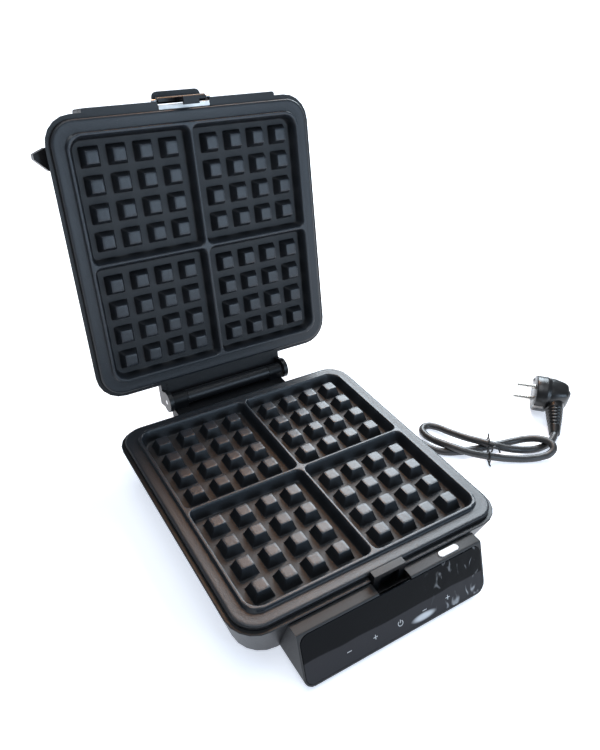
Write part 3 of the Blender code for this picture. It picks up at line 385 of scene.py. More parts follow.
@dataclass(frozen=True)
class PlainPaint:
    """Printed ink, enamel, ceramic or board lacquer with slight unevenness."""

    name: str
    colour: Colour
    roughness: float
    grain: float

    def paint(self) -> Material:
        """Return the paint's material."""
        sheet = NodeSheet(self.name)
        specks = sheet.noise(sheet.places(), self.grain, 3.0, 0.6)
        sheet.set(
            Base_Color=sheet.mix(specks, rgba(self.colour, 0.85), rgba(self.colour, 1.1)),
            Roughness=self.roughness + 0.12 * (specks - 0.5),
            Normal=sheet.bump(specks, 0.00002, 0.5),
        )
        return sheet.material


# ---- surfaces


def linked(name: str, data: bpy.types.ID) -> bpy.types.Object:
    """Return a new object of that data, in the scene."""
    made = bpy.data.objects.new(name, data)
    bpy.context.scene.collection.objects.link(made)
    return made


def mesh_piece(
    name: str,
    points: Array,
    faces: Array,
    material: Material,
    level: Array | None = None,
) -> bpy.types.Object:
    """Make a smooth mesh object.

    Args:
        name: The piece's name.
        points: Vertices, one row each.
        faces: Corner numbers of the quads, one row each.
        material: Its finish.
        level: A value for each vertex, which the finish can read by that name.

    Returns:
        The object, at the origin, in the scene.
    """
    mesh = bpy.data.meshes.new(name)
    mesh.from_pydata(points.tolist(), [], faces.tolist())
    if level is not None:
        mesh.attributes.new("level", "FLOAT", "POINT").data.foreach_set("value", level.astype(np.float32))
    mesh.polygons.foreach_set("use_smooth", np.ones(len(mesh.polygons), bool))
    mesh.materials.append(material)
    mesh.update()
    return linked(name, mesh)


def wire(
    name: str, points: Sequence[Vector], radius: float, steps: tuple[int, int], material: Material
) -> bpy.types.Object:
    """Make a round wire, one smooth curve through some points.

    Args:
        name: The piece's name.
        points: The places on its middle line, in order.
        radius: Half its thickness.
        steps: Its fineness along and round it.
        material: Its finish.

    Returns:
        The object, at the origin, in the scene.
    """
    curve = bpy.data.curves.new(name, "CURVE")
    curve.dimensions = "3D"
    curve.bevel_depth = radius
    curve.resolution_u, curve.bevel_resolution = steps
    curve.use_fill_caps = True
    spline = curve.splines.new("BEZIER")
    spline.bezier_points.add(len(points) - 1)
    for knot, place in zip(spline.bezier_points, points):
        knot.co = place
        knot.handle_left_type = knot.handle_right_type = "AUTO"
    curve.materials.append(material)
    return linked(name, curve)


def grid_faces(rows: int, columns: int, wrap: bool = False) -> Array:
    """Return the quads of a grid of rows by columns, whose last column may join its first."""
    last = columns if wrap else columns - 1
    r, c = np.meshgrid(np.arange(rows - 1), np.arange(last), indexing="ij")
    nxt = (c + 1) % columns
    quads = [r * columns + c, r * columns + nxt, (r + 1) * columns + nxt, (r + 1) * columns + c]
    return np.stack(quads, -1).reshape(-1, 4)


def joined(parts: Iterable[Surface]) -> Surface:
    """Return several surfaces as one."""
    points, faces, count = [], [], 0
    for some, quads in parts:
        points.append(some)
        faces.append(quads + count)
        count += len(some)
    return np.concatenate(points), np.concatenate(faces)


def turned(profile: Sequence[Pair], place: Matrix, steps: int) -> Surface:
    """Turn a profile of (radius, height) about Z and place it.

    A point is (r cos a, r sin a, h), with the heights rising along the profile.
    """
    shape = np.array(profile)
    angle = np.linspace(0.0, math.tau, steps, endpoint=False)
    radius = shape[:, :1]
    height = np.broadcast_to(shape[:, 1:], (len(shape), steps))
    points = np.stack([radius * np.cos(angle), radius * np.sin(angle), height], -1)
    return placed(points.reshape(-1, 3), place), grid_faces(len(shape), steps, wrap=True)


def placed(points: Array, place: Matrix) -> Array:
    """Return points moved by a 4x4 matrix."""
    matrix = np.array(place)
    return points @ matrix[:3, :3].T + matrix[:3, 3]


def eased_ramp(share: Array, ease: float) -> Array:
    """Return a ramp held to 0 and 1, whose two bends are parabolas of half-width ease."""

    def bend(t: Array) -> Array:
        return np.where(t < -ease, 0.0, np.where(t > ease, t, (t + ease) ** 2 / (4 * ease)))

    return bend(share) - bend(share - 1.0)


def outline_distance(x: Array, y: Array, half: float, corner: object) -> Array:
    """Return the distance outside a rounded square of that half-width, negative inside."""
    qx, qy = np.abs(x) - half + corner, np.abs(y) - half + corner
    outside = np.hypot(np.maximum(qx, 0.0), np.maximum(qy, 0.0))
    return outside + np.minimum(np.maximum(qx, qy), 0.0) - corner


WELD_REACH = 0.00002
SHARP_FROM = math.radians(28)
FACE_WEIGHT = 80


def dress(material: Material, *nodes: str, bevel: float = 0.0004, steps: int = 2) -> None:
    """Give solids a finish, soft edges and smooth shading.

    Args:
        material: The finish.
        *nodes: The solids' names.
        bevel: Width of the softened edges, 0 for none.
        steps: Segments of the bevel.
    """
    for node in nodes:
        solid = frame["nodes"][node]
        solid.data.materials.clear()
        solid.data.materials.append(material)
        solid.data.polygons.foreach_set("use_smooth", np.ones(len(solid.data.polygons), bool))
        weld = solid.modifiers.new("weld", "WELD")
        weld.merge_threshold = WELD_REACH
        if bevel:
            soft = solid.modifiers.new("soft_edges", "BEVEL")
            soft.width = bevel
            soft.segments = steps
            soft.limit_method = "ANGLE"
            soft.angle_limit = SHARP_FROM
            soft.harden_normals = True
            soft.miter_outer = "MITER_ARC"
        even = solid.modifiers.new("even_faces", "WEIGHTED_NORMAL")
        even.mode = "FACE_AREA"
        even.weight = FACE_WEIGHT
        even.keep_sharp = True
        LOG.info("dressed %s", node)


# ---- camera and light


@dataclass
class Studio:
    """The camera, the pale floor and the soft lights."""

    eye: Point = (-0.2273, -0.3851, 0.4271)
    heading: float = 33.689
    drop: float = 34.795
    roll: float = 3.331
    lens: float = 32.49
    sensor_width: float = 36.0
    clip_start: float = 0.01
    floor_size: float = 60.0
    floor_sink: float = 0.0004
    glow_near: Colour = (0.58, 0.62, 0.7)
    glow_far: Colour = (0.98, 1.02, 1.12)
    glow_grows: Pair = (0.5, 2.4)
    middle: Point = (0.0, 0.0, 0.08)
    lid_middle: Point = (0.0, 0.12, 0.2)
    room_colour: Colour = (0.86, 0.93, 1.0)
    room_strength: float = 0.16

    def camera(self) -> None:
        """Place the camera: heading from +Y towards +X, drop below the horizon, then roll."""
        data = bpy.data.cameras.new("camera")
        data.lens = self.lens
        data.sensor_width = self.sensor_width
        data.clip_start = self.clip_start
        made = linked("camera", data)
        turn = (
            Matrix.Rotation(-math.radians(self.heading), 4, "Z")
            @ Matrix.Rotation(math.radians(90.0 - self.drop), 4, "X")
            @ Matrix.Rotation(math.radians(self.roll), 4, "Z")
        )
        made.matrix_world = Matrix.Translation(self.eye) @ turn
        bpy.context.scene.camera = made

    def floor(self) -> None:
        """Lay the pale floor, which glows more with distance."""
        half, low = self.floor_size / 2, -self.floor_sink
        points = np.array([[-half, -half, low], [half, -half, low], [half, half, low], [-half, half, low]])
        sheet = NodeSheet("floor_paint")
        spread = sheet.flow("ShaderNodeVectorMath", "Value", {0: sheet.places()}, operation="LENGTH")
        far = spread.rising(*self.glow_grows)
        specks = sheet.noise(sheet.places(), 60.0, 2.0)
        sheet.set(
            Base_Color=sheet.mix(specks, rgba((0.84, 0.84, 0.84)), rgba((0.88, 0.88, 0.88))),
            Roughness=0.75 + 0.05 * specks,
            Emission_Color=sheet.mix(far, rgba(self.glow_near), rgba(self.glow_far)),
            Emission_Strength=1.0,
        )
        floor = mesh_piece("floor", points, np.array([[0, 1, 2, 3]]), sheet.material)

    def light(self, name: str, place: Point, size: float, power: float, colour: Colour, aim: Point) -> None:
        """Add a square soft light of that size and power at a place, to face the aim."""
        data = bpy.data.lights.new(name, "AREA")
        data.size = size
        data.energy = power
        data.color = colour
        made = linked(name, data)
        made.location = place
        made.rotation_mode = "QUATERNION"
        made.rotation_quaternion = (Vector(aim) - Vector(place)).to_track_quat("-Z", "Y")

    def lights(self) -> None:
        """Set a daylight window behind on the right, an overhead box, a front fill and a warm lamp."""
        self.light("window", (0.86, 0.66, 0.84), 0.74, 30.0, (0.8, 0.91, 1.0), self.middle)
        self.light("lamp_glow", (0.36, 0.54, 1.03), 0.24, 4.4, (1.0, 0.52, 0.25), self.middle)
        self.light("ceiling", (-0.3, -0.3, 1.9), 1.2, 16.0, (0.88, 0.94, 1.0), self.middle)
        self.light("fill", (0.5, -1.15, 0.5), 0.55, 6.5, (0.62, 0.8, 1.0), self.lid_middle)
        world = bpy.data.worlds.new("room")
        world.use_nodes = True
        background = world.node_tree.nodes["Background"]
        background.inputs["Color"].default_value = rgba(self.room_colour)
        background.inputs["Strength"].default_value = self.room_strength
        bpy.context.scene.world = world
        bpy.context.scene.view_settings.view_transform = "Standard"

    def build(self) -> None:
        """Make the whole studio."""
        self.camera()
        self.floor()
        self.lights()


# ---- mains lead


@dataclass
class MainsLead:
    """The free cord with its hank, wire ties and angled two-pin plug.

    Places are measured from the middle of the lower plate, on the ground.
    """

    diameter: float = 0.007
    clearance: float = 0.0002
    plug_face: Point = (0.2955, 0.009, 0.0187)
    plug_heading: float = 135.6
    plug_roll: float = 15.5
    plug_radius: float = 0.0185
    plug_depth: float = 0.033
    sleeve_setback: float = 0.0205
    sleeve_end: float = 0.05
    grooves: Pair = (0.019, 0.0418)
    groove_pitch: float = 0.0038
    groove_depth: float = 0.0013
    tie_wire: float = 0.0008
    middle: Vector = field(default_factory=Vector)

    def __post_init__(self) -> None:
        """Read the plate's middle from the solids."""
        low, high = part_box("lower_waffle_plate")
        self.middle = Vector(((low.x + high.x) / 2, (low.y + high.y) / 2, 0.0))

    def plug_frame(self) -> Matrix:
        """Return the plug's own frame: pins along +X and one above the other, sleeve along +Y."""
        return (
            Matrix.Translation(self.middle + Vector(self.plug_face))
            @ Matrix.Rotation(math.radians(self.plug_heading), 4, "Z")
            @ Matrix.Rotation(-math.radians(self.plug_roll), 4, "X")
        )

    def route(self) -> list[Vector]:
        """Return the cord's points from the gland, round the base, through the hank to the plug."""
        low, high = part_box("cord_gland")
        start = Vector(((low.x + high.x) / 2, high.y, (low.z + high.z) / 2)) - self.middle
        lie = self.diameter / 2 + self.clearance
        over = lie + self.diameter + self.clearance
        hidden = [
            start,
            start + Vector((0.0, 0.008, -0.0005)),
            (-0.042, 0.1545, 0.01), (-0.029, 0.168, lie + 0.0015),
            (0.005, 0.1755, lie), (0.05, 0.171, lie),
            (0.095, 0.151, lie), (0.129, 0.118, lie),
            (0.1435, 0.08, lie), (0.146, 0.05, lie),
        ]
        outward = [
            (0.15, 0.016, lie), (0.159, -0.0025, lie),
            (0.1735, -0.0115, lie), (0.1892, -0.016, lie),
            (0.2044, -0.02, lie), (0.2203, -0.0234, lie),
            (0.2338, -0.0268, lie + 0.0006), (0.2447, -0.0324, lie + 0.003),
            (0.2518, -0.0409, lie + 0.0062), (0.2556, -0.05, over),
            (0.2534, -0.057, lie + 0.0062), (0.2479, -0.059, lie + 0.0036),
        ]
        inward = [
            (0.2389, -0.0567, lie + 0.001), (0.227, -0.052, lie),
            (0.2142, -0.0452, lie), (0.2026, -0.0392, lie + 0.0014),
            (0.1889, -0.0324, lie + 0.0046), (0.1772, -0.023, over - 0.001),
            (0.1701, -0.0139, over - 0.0004), (0.1651, -0.0007, lie + 0.0046),
            (0.1623, 0.0125, lie + 0.0018), (0.1618, 0.0237, lie + 0.0004),
        ]
        back = [
            (0.1654, 0.0318, lie), (0.173, 0.0335, lie),
            (0.1794, 0.0277, lie + 0.0004), (0.185, 0.0137, lie + 0.0016),
            (0.1905, -0.0027, lie + 0.0044), (0.1978, -0.0156, over - 0.0012),
            (0.2031, -0.0254, over), (0.2111, -0.0328, over - 0.0014),
            (0.2216, -0.0388, lie + 0.0036), (0.2339, -0.0427, lie + 0.001),
            (0.2455, -0.0455, lie), (0.256, -0.0462, lie),
            (0.2645, -0.0453, lie + 0.0004),
        ]
        inside_sleeve = Vector((-self.sleeve_setback, self.sleeve_end - 0.004, 0.0))
        sleeve = self.plug_frame() @ inside_sleeve - self.middle
        ends = [(0.2722, -0.0424, sleeve.z - 0.0004), sleeve]
        return [self.middle + Vector(p) for p in [*hidden, *outward, *inward, *back, *ends]]

    def plug_body(self) -> Surface:
        """Return the moulded body: sections along -X that go from a circle to a flat-sided grip.

        A section is a superellipse, |y/a|^n + |z/b|^n = 1, whose half-widths a and b
        shrink and whose power n grows towards the back.
        """
        stations = [0.0, 0.0004, 0.0012, 0.006, 0.01, 0.0125, 0.013, 0.015, 0.019, 0.024, 0.029]
        depth = np.array([*stations, 0.0318, 0.0328, self.plug_depth])
        grip_start, grip_length = 0.012, 0.02
        seam, back, face = 0.0126, 0.031, 0.001
        seam_step, narrower, lower = 0.0007, 0.007, 0.0038
        share = np.clip((depth - grip_start) / grip_length, 0.0, 1.0)
        share = share * share * (3 - 2 * share)
        step = np.where(depth > seam, seam_step, 0.0)
        end = np.where(depth > back, (depth - back) * 1.3, 0.0)
        edge = np.where(depth < face, 0.0008 - 0.8 * depth, 0.0)
        half_y = (self.plug_radius - step - narrower * share - end - edge)[:, None]
        half_z = (self.plug_radius - step - lower * share - end - edge)[:, None]
        power = (2.0 + 2.2 * share)[:, None]
        count = 56
        angle = np.linspace(0.0, math.tau, count, endpoint=False)
        c, s = np.cos(angle), np.sin(angle)
        size = (np.abs(c) ** power + np.abs(s) ** power) ** (-1 / power)
        behind = np.broadcast_to(-depth[:, None], size.shape)
        rings = np.stack([behind, half_y * size * c, half_z * size * s], -1)
        points = np.concatenate([rings[:1] * [1, 0, 0], rings, rings[-1:] * [1, 0, 0]]).reshape(-1, 3)
        return points, grid_faces(len(depth) + 2, count, wrap=True)[:, ::-1]

    def plug_sleeve(self) -> Surface:
        """Return the ribbed sleeve: a taper along +Y with grooves cut in it."""
        first, last = self.grooves
        along = np.linspace(0.0, self.sleeve_end, 110)
        taper = np.interp(along, [0.0, 0.013, 0.03, self.sleeve_end], [0.0098, 0.0094, 0.0078, 0.0052])
        waves = 0.5 - 0.5 * np.cos(math.tau * (along - first) / self.groove_pitch)
        grooved = (along > first) & (along < last)
        radius = taper - np.where(grooved, self.groove_depth * waves**3, 0.0)
        profile = [(0.0, 0.0), *zip(radius, along), (0.0, self.sleeve_end)]
        upright = Matrix.Rotation(-math.pi / 2, 4, "X")
        return turned(profile, Matrix.Translation((-self.sleeve_setback, 0.0, 0.0)) @ upright, 36)

    def grip_ridge(self) -> Surface:
        """Return the thumb ridge on the plug's back, a rounded bar across it."""
        rows, count = 15, 20
        angle = np.linspace(0.0, math.tau, count, endpoint=False)
        across = np.linspace(-1.0, 1.0, rows)[:, None]
        swell = np.sqrt(np.clip(1 - across**6, 0.0, 1.0))
        x = -self.plug_depth + 0.0008 + 0.003 * swell * np.cos(angle)
        y = 0.0022 + 0.0044 * swell * np.sin(angle)
        points = np.stack([x, y, np.broadcast_to(0.0125 * across, x.shape)], -1)
        return points.reshape(-1, 3), grid_faces(rows, count, wrap=True)[:, ::-1]

    def earth_clips(self, material: Material) -> list[bpy.types.Object]:
        """Return the two earth strips, each set into the rim of the plug's face."""
        rows, columns = 9, 7
        half_angle, lift, thickness = 0.1, 0.0001, 0.0004
        made = []
        for number, side in enumerate((0.0, math.pi), 1):
            along = np.linspace(0.0005, -0.01, rows)[:, None]
            angle = np.linspace(-half_angle, half_angle, columns) + side
            bulge = np.full_like(along, self.plug_radius + lift)
            behind = np.broadcast_to(along, (rows, columns))
            strip = np.stack([behind, bulge * np.cos(angle), bulge * np.sin(angle)], -1)
            folded = strip[:1] * [1, 0.9, 0.95]
            points = placed(np.concatenate([folded, strip]).reshape(-1, 3), self.plug_frame())
            clip = mesh_piece(f"plug_earth_clip_{number}", points, grid_faces(rows + 1, columns), material)
            wall = clip.modifiers.new("sheet", "SOLIDIFY")
            wall.thickness = thickness
            wall.offset = 0.0
            made.append(clip)
        return made

    def ties(self, material: Material) -> list[bpy.types.Object]:
        """Return the ties: a loop at the crossing with its tail, and a ring beside it with a bridge."""
        low = self.tie_wire

        def beside(x: float, y: float, across: Vector, places: Iterable[Pair]) -> list[Point]:
            """Turn (metres across the strands, height) at (x, y) into places."""
            return [(x + across.x * step, y + across.y * step, z) for step, z in places]

        crossed, single = Vector((0.6, 0.8)), Vector((0.46, 0.888))
        loop = [(-0.0058, low), (-0.006, 0.0075), (-0.0032, 0.014), (0.0, 0.0152)]
        loop += [(0.0034, 0.014), (0.006, 0.008), (0.0056, low)]
        tail = [(0.0028, 0.0146), (0.005, 0.0158), (0.007, 0.0158)]
        ring = [(-0.0046, 0.003), (-0.0047, 0.0085), (-0.0028, 0.0116), (0.0004, 0.0126), (0.0034, 0.0112)]
        ring += [(0.0047, 0.008), (0.0044, 0.003), (-0.001, 0.0032), (-0.0066, 0.0022), (-0.0082, 0.003)]
        bridge = [(0.193, -0.0338, 0.0124), (0.1985, -0.0318, 0.0152)]
        bridge += [(0.2012, -0.0338, 0.0138), (0.2022, -0.0368, 0.0098)]
        wires = {
            "upper": beside(0.2022, -0.0206, crossed, loop),
            "tail": beside(0.2022, -0.0206, crossed, tail),
            "lower": beside(0.1912, -0.0335, single, ring),
            "bridge": bridge,
        }
        made = []
        for name, points in wires.items():
            places = [self.middle + Vector(p) for p in points]
            made.append(wire(f"wire_tie_{name}", places, low, (6, 3), material))
        return made

    def build(self) -> None:
        rubber = SoftRubber("cord_rubber", (0.024, 0.0235, 0.0235), 0.4).paint()
        moulding = MouldedPlastic("plug_plastic", (0.0085, 0.0085, 0.0088), 0.33, Moulding.SATIN).paint()
        nickel = BrushedMetal("nickel_plate", (0.66, 0.64, 0.6), 0.22).paint()
        black_wire = MouldedPlastic("tie_plastic", (0.012, 0.012, 0.012), 0.4, Moulding.SATIN).paint()
        route = self.route()
        cord = wire("mains_cord", route, self.diameter / 2, (8, 5), rubber)
        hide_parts("cord_run", "cord_hank", "cord_tail")
        points, faces = joined([self.plug_body(), self.plug_sleeve(), self.grip_ridge()])
        plug = mesh_piece("plug_moulding", placed(points, self.plug_frame()), faces, moulding)
        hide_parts("plug_body")
        clips = self.earth_clips(BrushedMetal("clip_plate", (0.2, 0.19, 0.18), 0.38).paint())
        ties = self.ties(black_wire)
        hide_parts("cord_tie_1")
        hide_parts("cord_tie_2")
        for piece in [cord, plug, *clips, *ties]:
            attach(piece, "base")
        pins = [frame["nodes"][f"plug_pin_{n}"] for n in (1, 2)]
        dress(nickel, *(pin.name for pin in pins), bevel=0.0009, steps=3)
        dress(rubber, "cord_gland", bevel=0.0003)


# ---- cast plates


@dataclass
class WafflePlates:
    """The two cast plates, each a height over a grid of lines that crowd where it bends."""

    peg_pitch: float = 0.022
    peg_rows: int = 4
    peg_top: float = 0.01
    peg_base: float = 0.0159
    peg_height: float = 0.0085
    peg_roundness: float = 22.0
    middle_pitch: float = 0.0364
    divider_base: float = 0.0085
    lip: float = 0.0015
    lip_width: float = 0.0026
    draft: float = 0.0027
    outer_corner: float = 0.008
    inner_corner: float = 0.0026
    flange_width: float = 0.0103
    flange_drop: float = 0.0015
    flange_thickness: float = 0.0036
    flange_corner: float = 0.019
    closed_gap: float = 0.0006
    edge_roll: float = 0.0012
    bead_inset: float = 0.0019
    bead_width: float = 0.0006
    bead_height: float = 0.00035
    lip_step: float = 0.0005
    lip_spread: float = 0.001
    least_gap: float = 0.00014

    def __post_init__(self) -> None:
        """Work out the outline from the pegs outwards."""
        self.slope = (self.peg_base - self.peg_top) / 2
        reach = self.middle_pitch / 2 + (self.peg_rows - 1) * self.peg_pitch + self.peg_base / 2
        self.pocket_edge = reach + 0.8 * (self.peg_pitch - self.peg_base)
        self.lip_half = self.pocket_edge + self.draft + self.lip_width
        self.flange_half = self.lip_half + self.flange_width
        self.rise = self.peg_height + self.lip
        self.wall = self.draft * self.rise / self.peg_height

    def lines(self) -> Array:
        """Return the grid's lines along one axis, in pairs about the middle.

        The lists count in widths of a wall, in widths of a peg's slope, and past the lip in mm.
        """
        over_wall = [1.28, 1.08, 0.93, 0.75, 0.5, 0.25, 0.07, -0.08, -0.3, -0.6, -1.0, -1.4]
        over_peg = [1.75, 1.09, 1.03, 0.97, 0.91, 0.62, 0.36, 0.1, 0.03, -0.04, -0.1, -0.42]
        over_edge = [-0.95, -0.6, -0.3, -0.08, 0.07, 0.25, 0.5, 0.75, 0.93, 1.08, 1.25]
        past_lip = [-0.35, -0.1, 0.1, 0.3, 0.55, 0.9, 1.6, 3.6, 6.0, 8.0, 9.0, 9.5, 9.85, 10.1]
        near_divider = self.divider_base / 2 - self.wall * np.array(over_wall)
        peg_side = np.concatenate([[0.0], self.peg_base / 2 - self.slope * np.array(over_peg)])
        around = np.concatenate([-peg_side[::-1], peg_side[1:]])
        rows = self.middle_pitch / 2 + self.peg_pitch * np.arange(self.peg_rows)
        pegs = (rows[:, None] + around[None, :]).ravel()
        between = rows[:-1] + self.peg_pitch / 2
        edge = self.pocket_edge + self.wall * np.array(over_edge)
        lip = self.lip_half + MM * np.array(past_lip)
        half = np.concatenate([near_divider, pegs, between, edge, lip, [self.flange_half]])
        half = np.unique(np.round(half, 6))
        half = half[half > 0]
        half = half[np.concatenate([[True], np.diff(half) > self.least_gap])]
        return np.concatenate([-half[::-1], [0.0], half])

    def pocket_distance(self, x: Array, y: Array) -> Array:
        """Return the distance outside the nearest pocket's floor, whose outermost corner is rounder."""
        inner, outer = self.divider_base / 2, self.pocket_edge
        centre, half = (inner + outer) / 2, (outer - inner) / 2
        px, py = np.abs(x) - centre, np.abs(y) - centre
        corner = np.where((px > 0) & (py > 0), self.outer_corner, self.inner_corner)
        return outline_distance(px, py, half, corner)

    def off_row(self, across: Array) -> Array:
        """Return the distance along one axis from the middle of the nearest row of pegs."""
        past_first = np.abs(across) - self.middle_pitch / 2
        row = np.clip(np.round(past_first / self.peg_pitch), 0, self.peg_rows - 1)
        return np.abs(past_first - row * self.peg_pitch)

    def height(self, x: Array, y: Array) -> Array:
        """Return the height over the peg tops.

        The floor lies a peg's height down. Each peg is a ramp of its superellipse
        distance (|dx|^n + |dy|^n)^(1/n), each wall a ramp of its distance from the
        pocket, and the lip's step a ramp of the distance from its outline. Every
        ramp has parabolic bends. The flange's edge is rolled, with a bead inside it.
        """
        n = self.peg_roundness
        dx, dy = self.off_row(x) / self.peg_base, self.off_row(y) / self.peg_base
        span = (dx**n + dy**n) ** (1 / n) * self.peg_base
        peg = self.peg_height * eased_ramp((self.peg_base / 2 - span) / self.slope, 0.075)
        wall = self.rise * eased_ramp(self.pocket_distance(x, y) / self.wall, 0.07)
        lip_corner = self.outer_corner + self.lip_width + self.lip_spread
        past_lip = outline_distance(x, y, self.lip_half, lip_corner)
        step = (self.lip + self.flange_drop) * eased_ramp(past_lip / self.lip_step, 0.3)
        inside_edge = -outline_distance(x, y, self.flange_half, self.flange_corner)
        roll = np.clip(1.0 - inside_edge / self.edge_roll, 0.0, 1.0)
        edge = self.edge_roll * (1.0 - np.sqrt(1.0 - roll**2))
        bead = self.bead_height * np.exp(-(((inside_edge - self.bead_inset) / self.bead_width) ** 2))
        return -self.peg_height + peg + wall - step - edge + bead

    def casting(self) -> Surface:
        """Return one plate about its own middle, pegs up: the grid, then rings down its edge."""
        lines = self.lines()
        u, v = np.meshgrid(lines, lines, indexing="ij")
        centre = self.flange_half - self.flange_corner
        cu, cv = np.abs(u) - centre, np.abs(v) - centre
        in_corner = (cu > 0) & (cv > 0)
        pull = np.where(in_corner, np.maximum(cu, cv) / np.maximum(np.hypot(cu, cv), 1e-9), 1.0)
        x = np.where(in_corner, np.sign(u) * (centre + cu * pull), u)
        y = np.where(in_corner, np.sign(v) * (centre + cv * pull), v)
        top = np.stack([x, y, self.height(x, y)], -1)
        count = len(lines)
        points, faces = top.reshape(-1, 3), grid_faces(count, count)
        number = np.arange(count * count).reshape(count, count)
        rim = np.concatenate([number[:, 0], number[-1, 1:], number[-2::-1, -1], number[0, -2:0:-1]])
        edge = points[rim]
        low = -self.flange_drop - self.flange_thickness
        # Down the side, in along a chamfer, then under: a share of the outline, at a height.
        under = ((1, low + 0.0005), (0.997, low), (0.9, low))
        rings = [edge * [share, share, 0] + [0, 0, z] for share, z in under]
        ring_count = len(rim)
        index = np.concatenate([rim, len(points) + np.arange(3 * ring_count)]).reshape(4, ring_count)
        around = np.roll(index, -1, axis=1)
        skirt = np.stack([index[:-1], index[1:], around[1:], around[:-1]], -1).reshape(-1, 4)
        return np.concatenate([points, *rings]), np.concatenate([faces, skirt])

    def build(self) -> None:
        """Make both plates, the upper one turned over and swung open with the lid."""
        points, faces = self.casting()
        low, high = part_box("lower_waffle_plate")
        peg_plane = high.z - self.lip
        middle = np.array([(low.x + high.x) / 2, (low.y + high.y) / 2, peg_plane])
        coat = NonStickCoat().paint()
        # The level, 0 on the pocket floors and 1 on the peg tops, drives the coat's painted highlight on
        # the tops and painted shade in the hollows.
        level = np.clip(1.0 + points[:, 2] / self.peg_height, 0.0, 1.0)
        lower = mesh_piece("lower_plate_casting", points + middle, faces, coat, level)
        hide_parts("lower_waffle_plate")
        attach(lower, "base")
        hinge = next(j for j in frame["joints"] if j["name"] == "lid_hinge")
        pivot = np.array(hinge["pos_m"])
        opened = -math.radians(max(hinge["range_deg"]))
        above = peg_plane + 2 * self.lip + self.closed_gap
        closed = points * [1, 1, -1] + [middle[0], middle[1], above]
        turn = np.array(Matrix.Rotation(opened, 3, "X"))
        swung = (closed - pivot) @ turn.T + pivot
        upper = mesh_piece("upper_plate_casting", swung, faces[:, ::-1], coat, level)
        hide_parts("upper_waffle_plate")
        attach(upper, "lid")
        for plate in (lower, upper):
            LOG.info("cast %s with %d quads", plate.name, len(faces))


# ---- control panel


class Symbol(Enum):
    """A printed touch symbol."""

    MINUS = "minus"
    PLUS = "plus"
    POWER = "power"


@dataclass
class ControlPanel:
    """The sloped glossy panel with its printed touch symbols."""

    key_pitch: float = 0.0221
    key_height: float = 0.0096
    symbol_size: float = 0.005
    stroke: float = 0.00055
    lift: float = 0.00008
    symbols: tuple[Symbol, ...] = (Symbol.MINUS, Symbol.PLUS, Symbol.POWER, Symbol.MINUS, Symbol.PLUS)

    def plane(self) -> Matrix:
        """Return the panel's face: X across, Y up the slope, Z out of it, from its bottom middle."""
        solid = frame["nodes"]["control_panel"]
        points = np.empty(len(solid.data.vertices) * 3, np.float32)
        solid.data.vertices.foreach_get("co", points)
        points = points.reshape(-1, 3)
        middle = (points[:, 0].min() + points[:, 0].max()) / 2
        front = points[points[:, 1] < points[:, 1].min() + 0.0002]
        foot = np.array([middle, front[:, 1].mean(), front[:, 2].min()])
        upper = points[points[:, 2] > points[:, 2].max() - 0.0008]
        head = np.array([middle, upper[:, 1].min(), upper[upper[:, 1].argmin(), 2]])
        up = Vector(head - foot).normalized()
        right = Vector((1.0, 0.0, 0.0))
        turn = Matrix((right, up, right.cross(up))).transposed()
        return Matrix.Translation(foot) @ turn.to_4x4()

    def bar(self, x: float, y: float, long: float, wide: float) -> Surface:
        """Return a flat stroke with round ends, from x - long/2 to x + long/2."""
        rows, least_width = 25, 1e-6
        along = np.linspace(-1.0, 1.0, rows)[:, None] * long / 2
        sides = np.array([-1.0, 0.0, 1.0])
        end = wide / 2
        inside = np.clip((long / 2 - np.abs(along)) / end, 0.0, 1.0)
        width = end * np.sqrt(np.clip(1 - (1 - inside) ** 2, 0.0, 1.0)) + least_width
        points = np.stack([x + along + 0 * sides, y + width * sides, np.full((rows, 3), self.lift)], -1)
        return points.reshape(-1, 3), grid_faces(rows, 3)

    def upright(self, x: float, y: float, long: float, wide: float) -> Surface:
        """Return the same stroke turned a quarter round."""
        points, faces = self.bar(0.0, 0.0, long, wide)
        return np.stack([x - points[:, 1], y + points[:, 0], points[:, 2] * 1.2], -1), faces

    def arc(self, x: float, y: float, radius: float, gap: float) -> Surface:
        """Return a flat ring that is open at its top by an angle of gap each side."""
        rows = 48
        angle = np.linspace(math.pi / 2 + gap, 2.5 * math.pi - gap, rows)[:, None]
        r = radius + self.stroke / 2 * np.array([-1.0, 0.0, 1.0])
        points = np.stack([x + r * np.cos(angle), y + r * np.sin(angle), np.full((rows, 3), self.lift)], -1)
        return points.reshape(-1, 3), grid_faces(rows, 3)[:, ::-1]

    def drawn(self, symbol: Symbol, x: float) -> list[Surface]:
        """Return a symbol's strokes about a key's middle."""
        size, y = self.symbol_size, self.key_height
        if symbol is Symbol.POWER:
            return [
                self.arc(x, y, 0.42 * size, 0.55),
                self.upright(x, y + 0.32 * size, 0.55 * size, self.stroke),
            ]
        strokes = [self.bar(x, y, size * 0.8, self.stroke)]
        if symbol is Symbol.PLUS:
            strokes.append(self.upright(x, y, size * 0.8, self.stroke))
        return strokes

    def build(self) -> None:
        """Dress the panel and print its symbols."""
        dress(FilmedGlass().paint(), "control_panel", bevel=0.0005, steps=3)
        place = self.plane()
        strokes: list[Surface] = []
        first = -(len(self.symbols) - 1) / 2
        for number, symbol in enumerate(self.symbols):
            strokes += self.drawn(symbol, (first + number) * self.key_pitch)
        points, faces = joined(strokes)
        ink = PlainPaint("symbol_ink", (0.5, 0.52, 0.54), 0.45, 2000.0).paint()
        print_piece = mesh_piece("panel_symbols", placed(points, place), faces, ink)
        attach(print_piece, "base")
        LOG.info("printed %d symbols", len(self.symbols))


# ---- solids


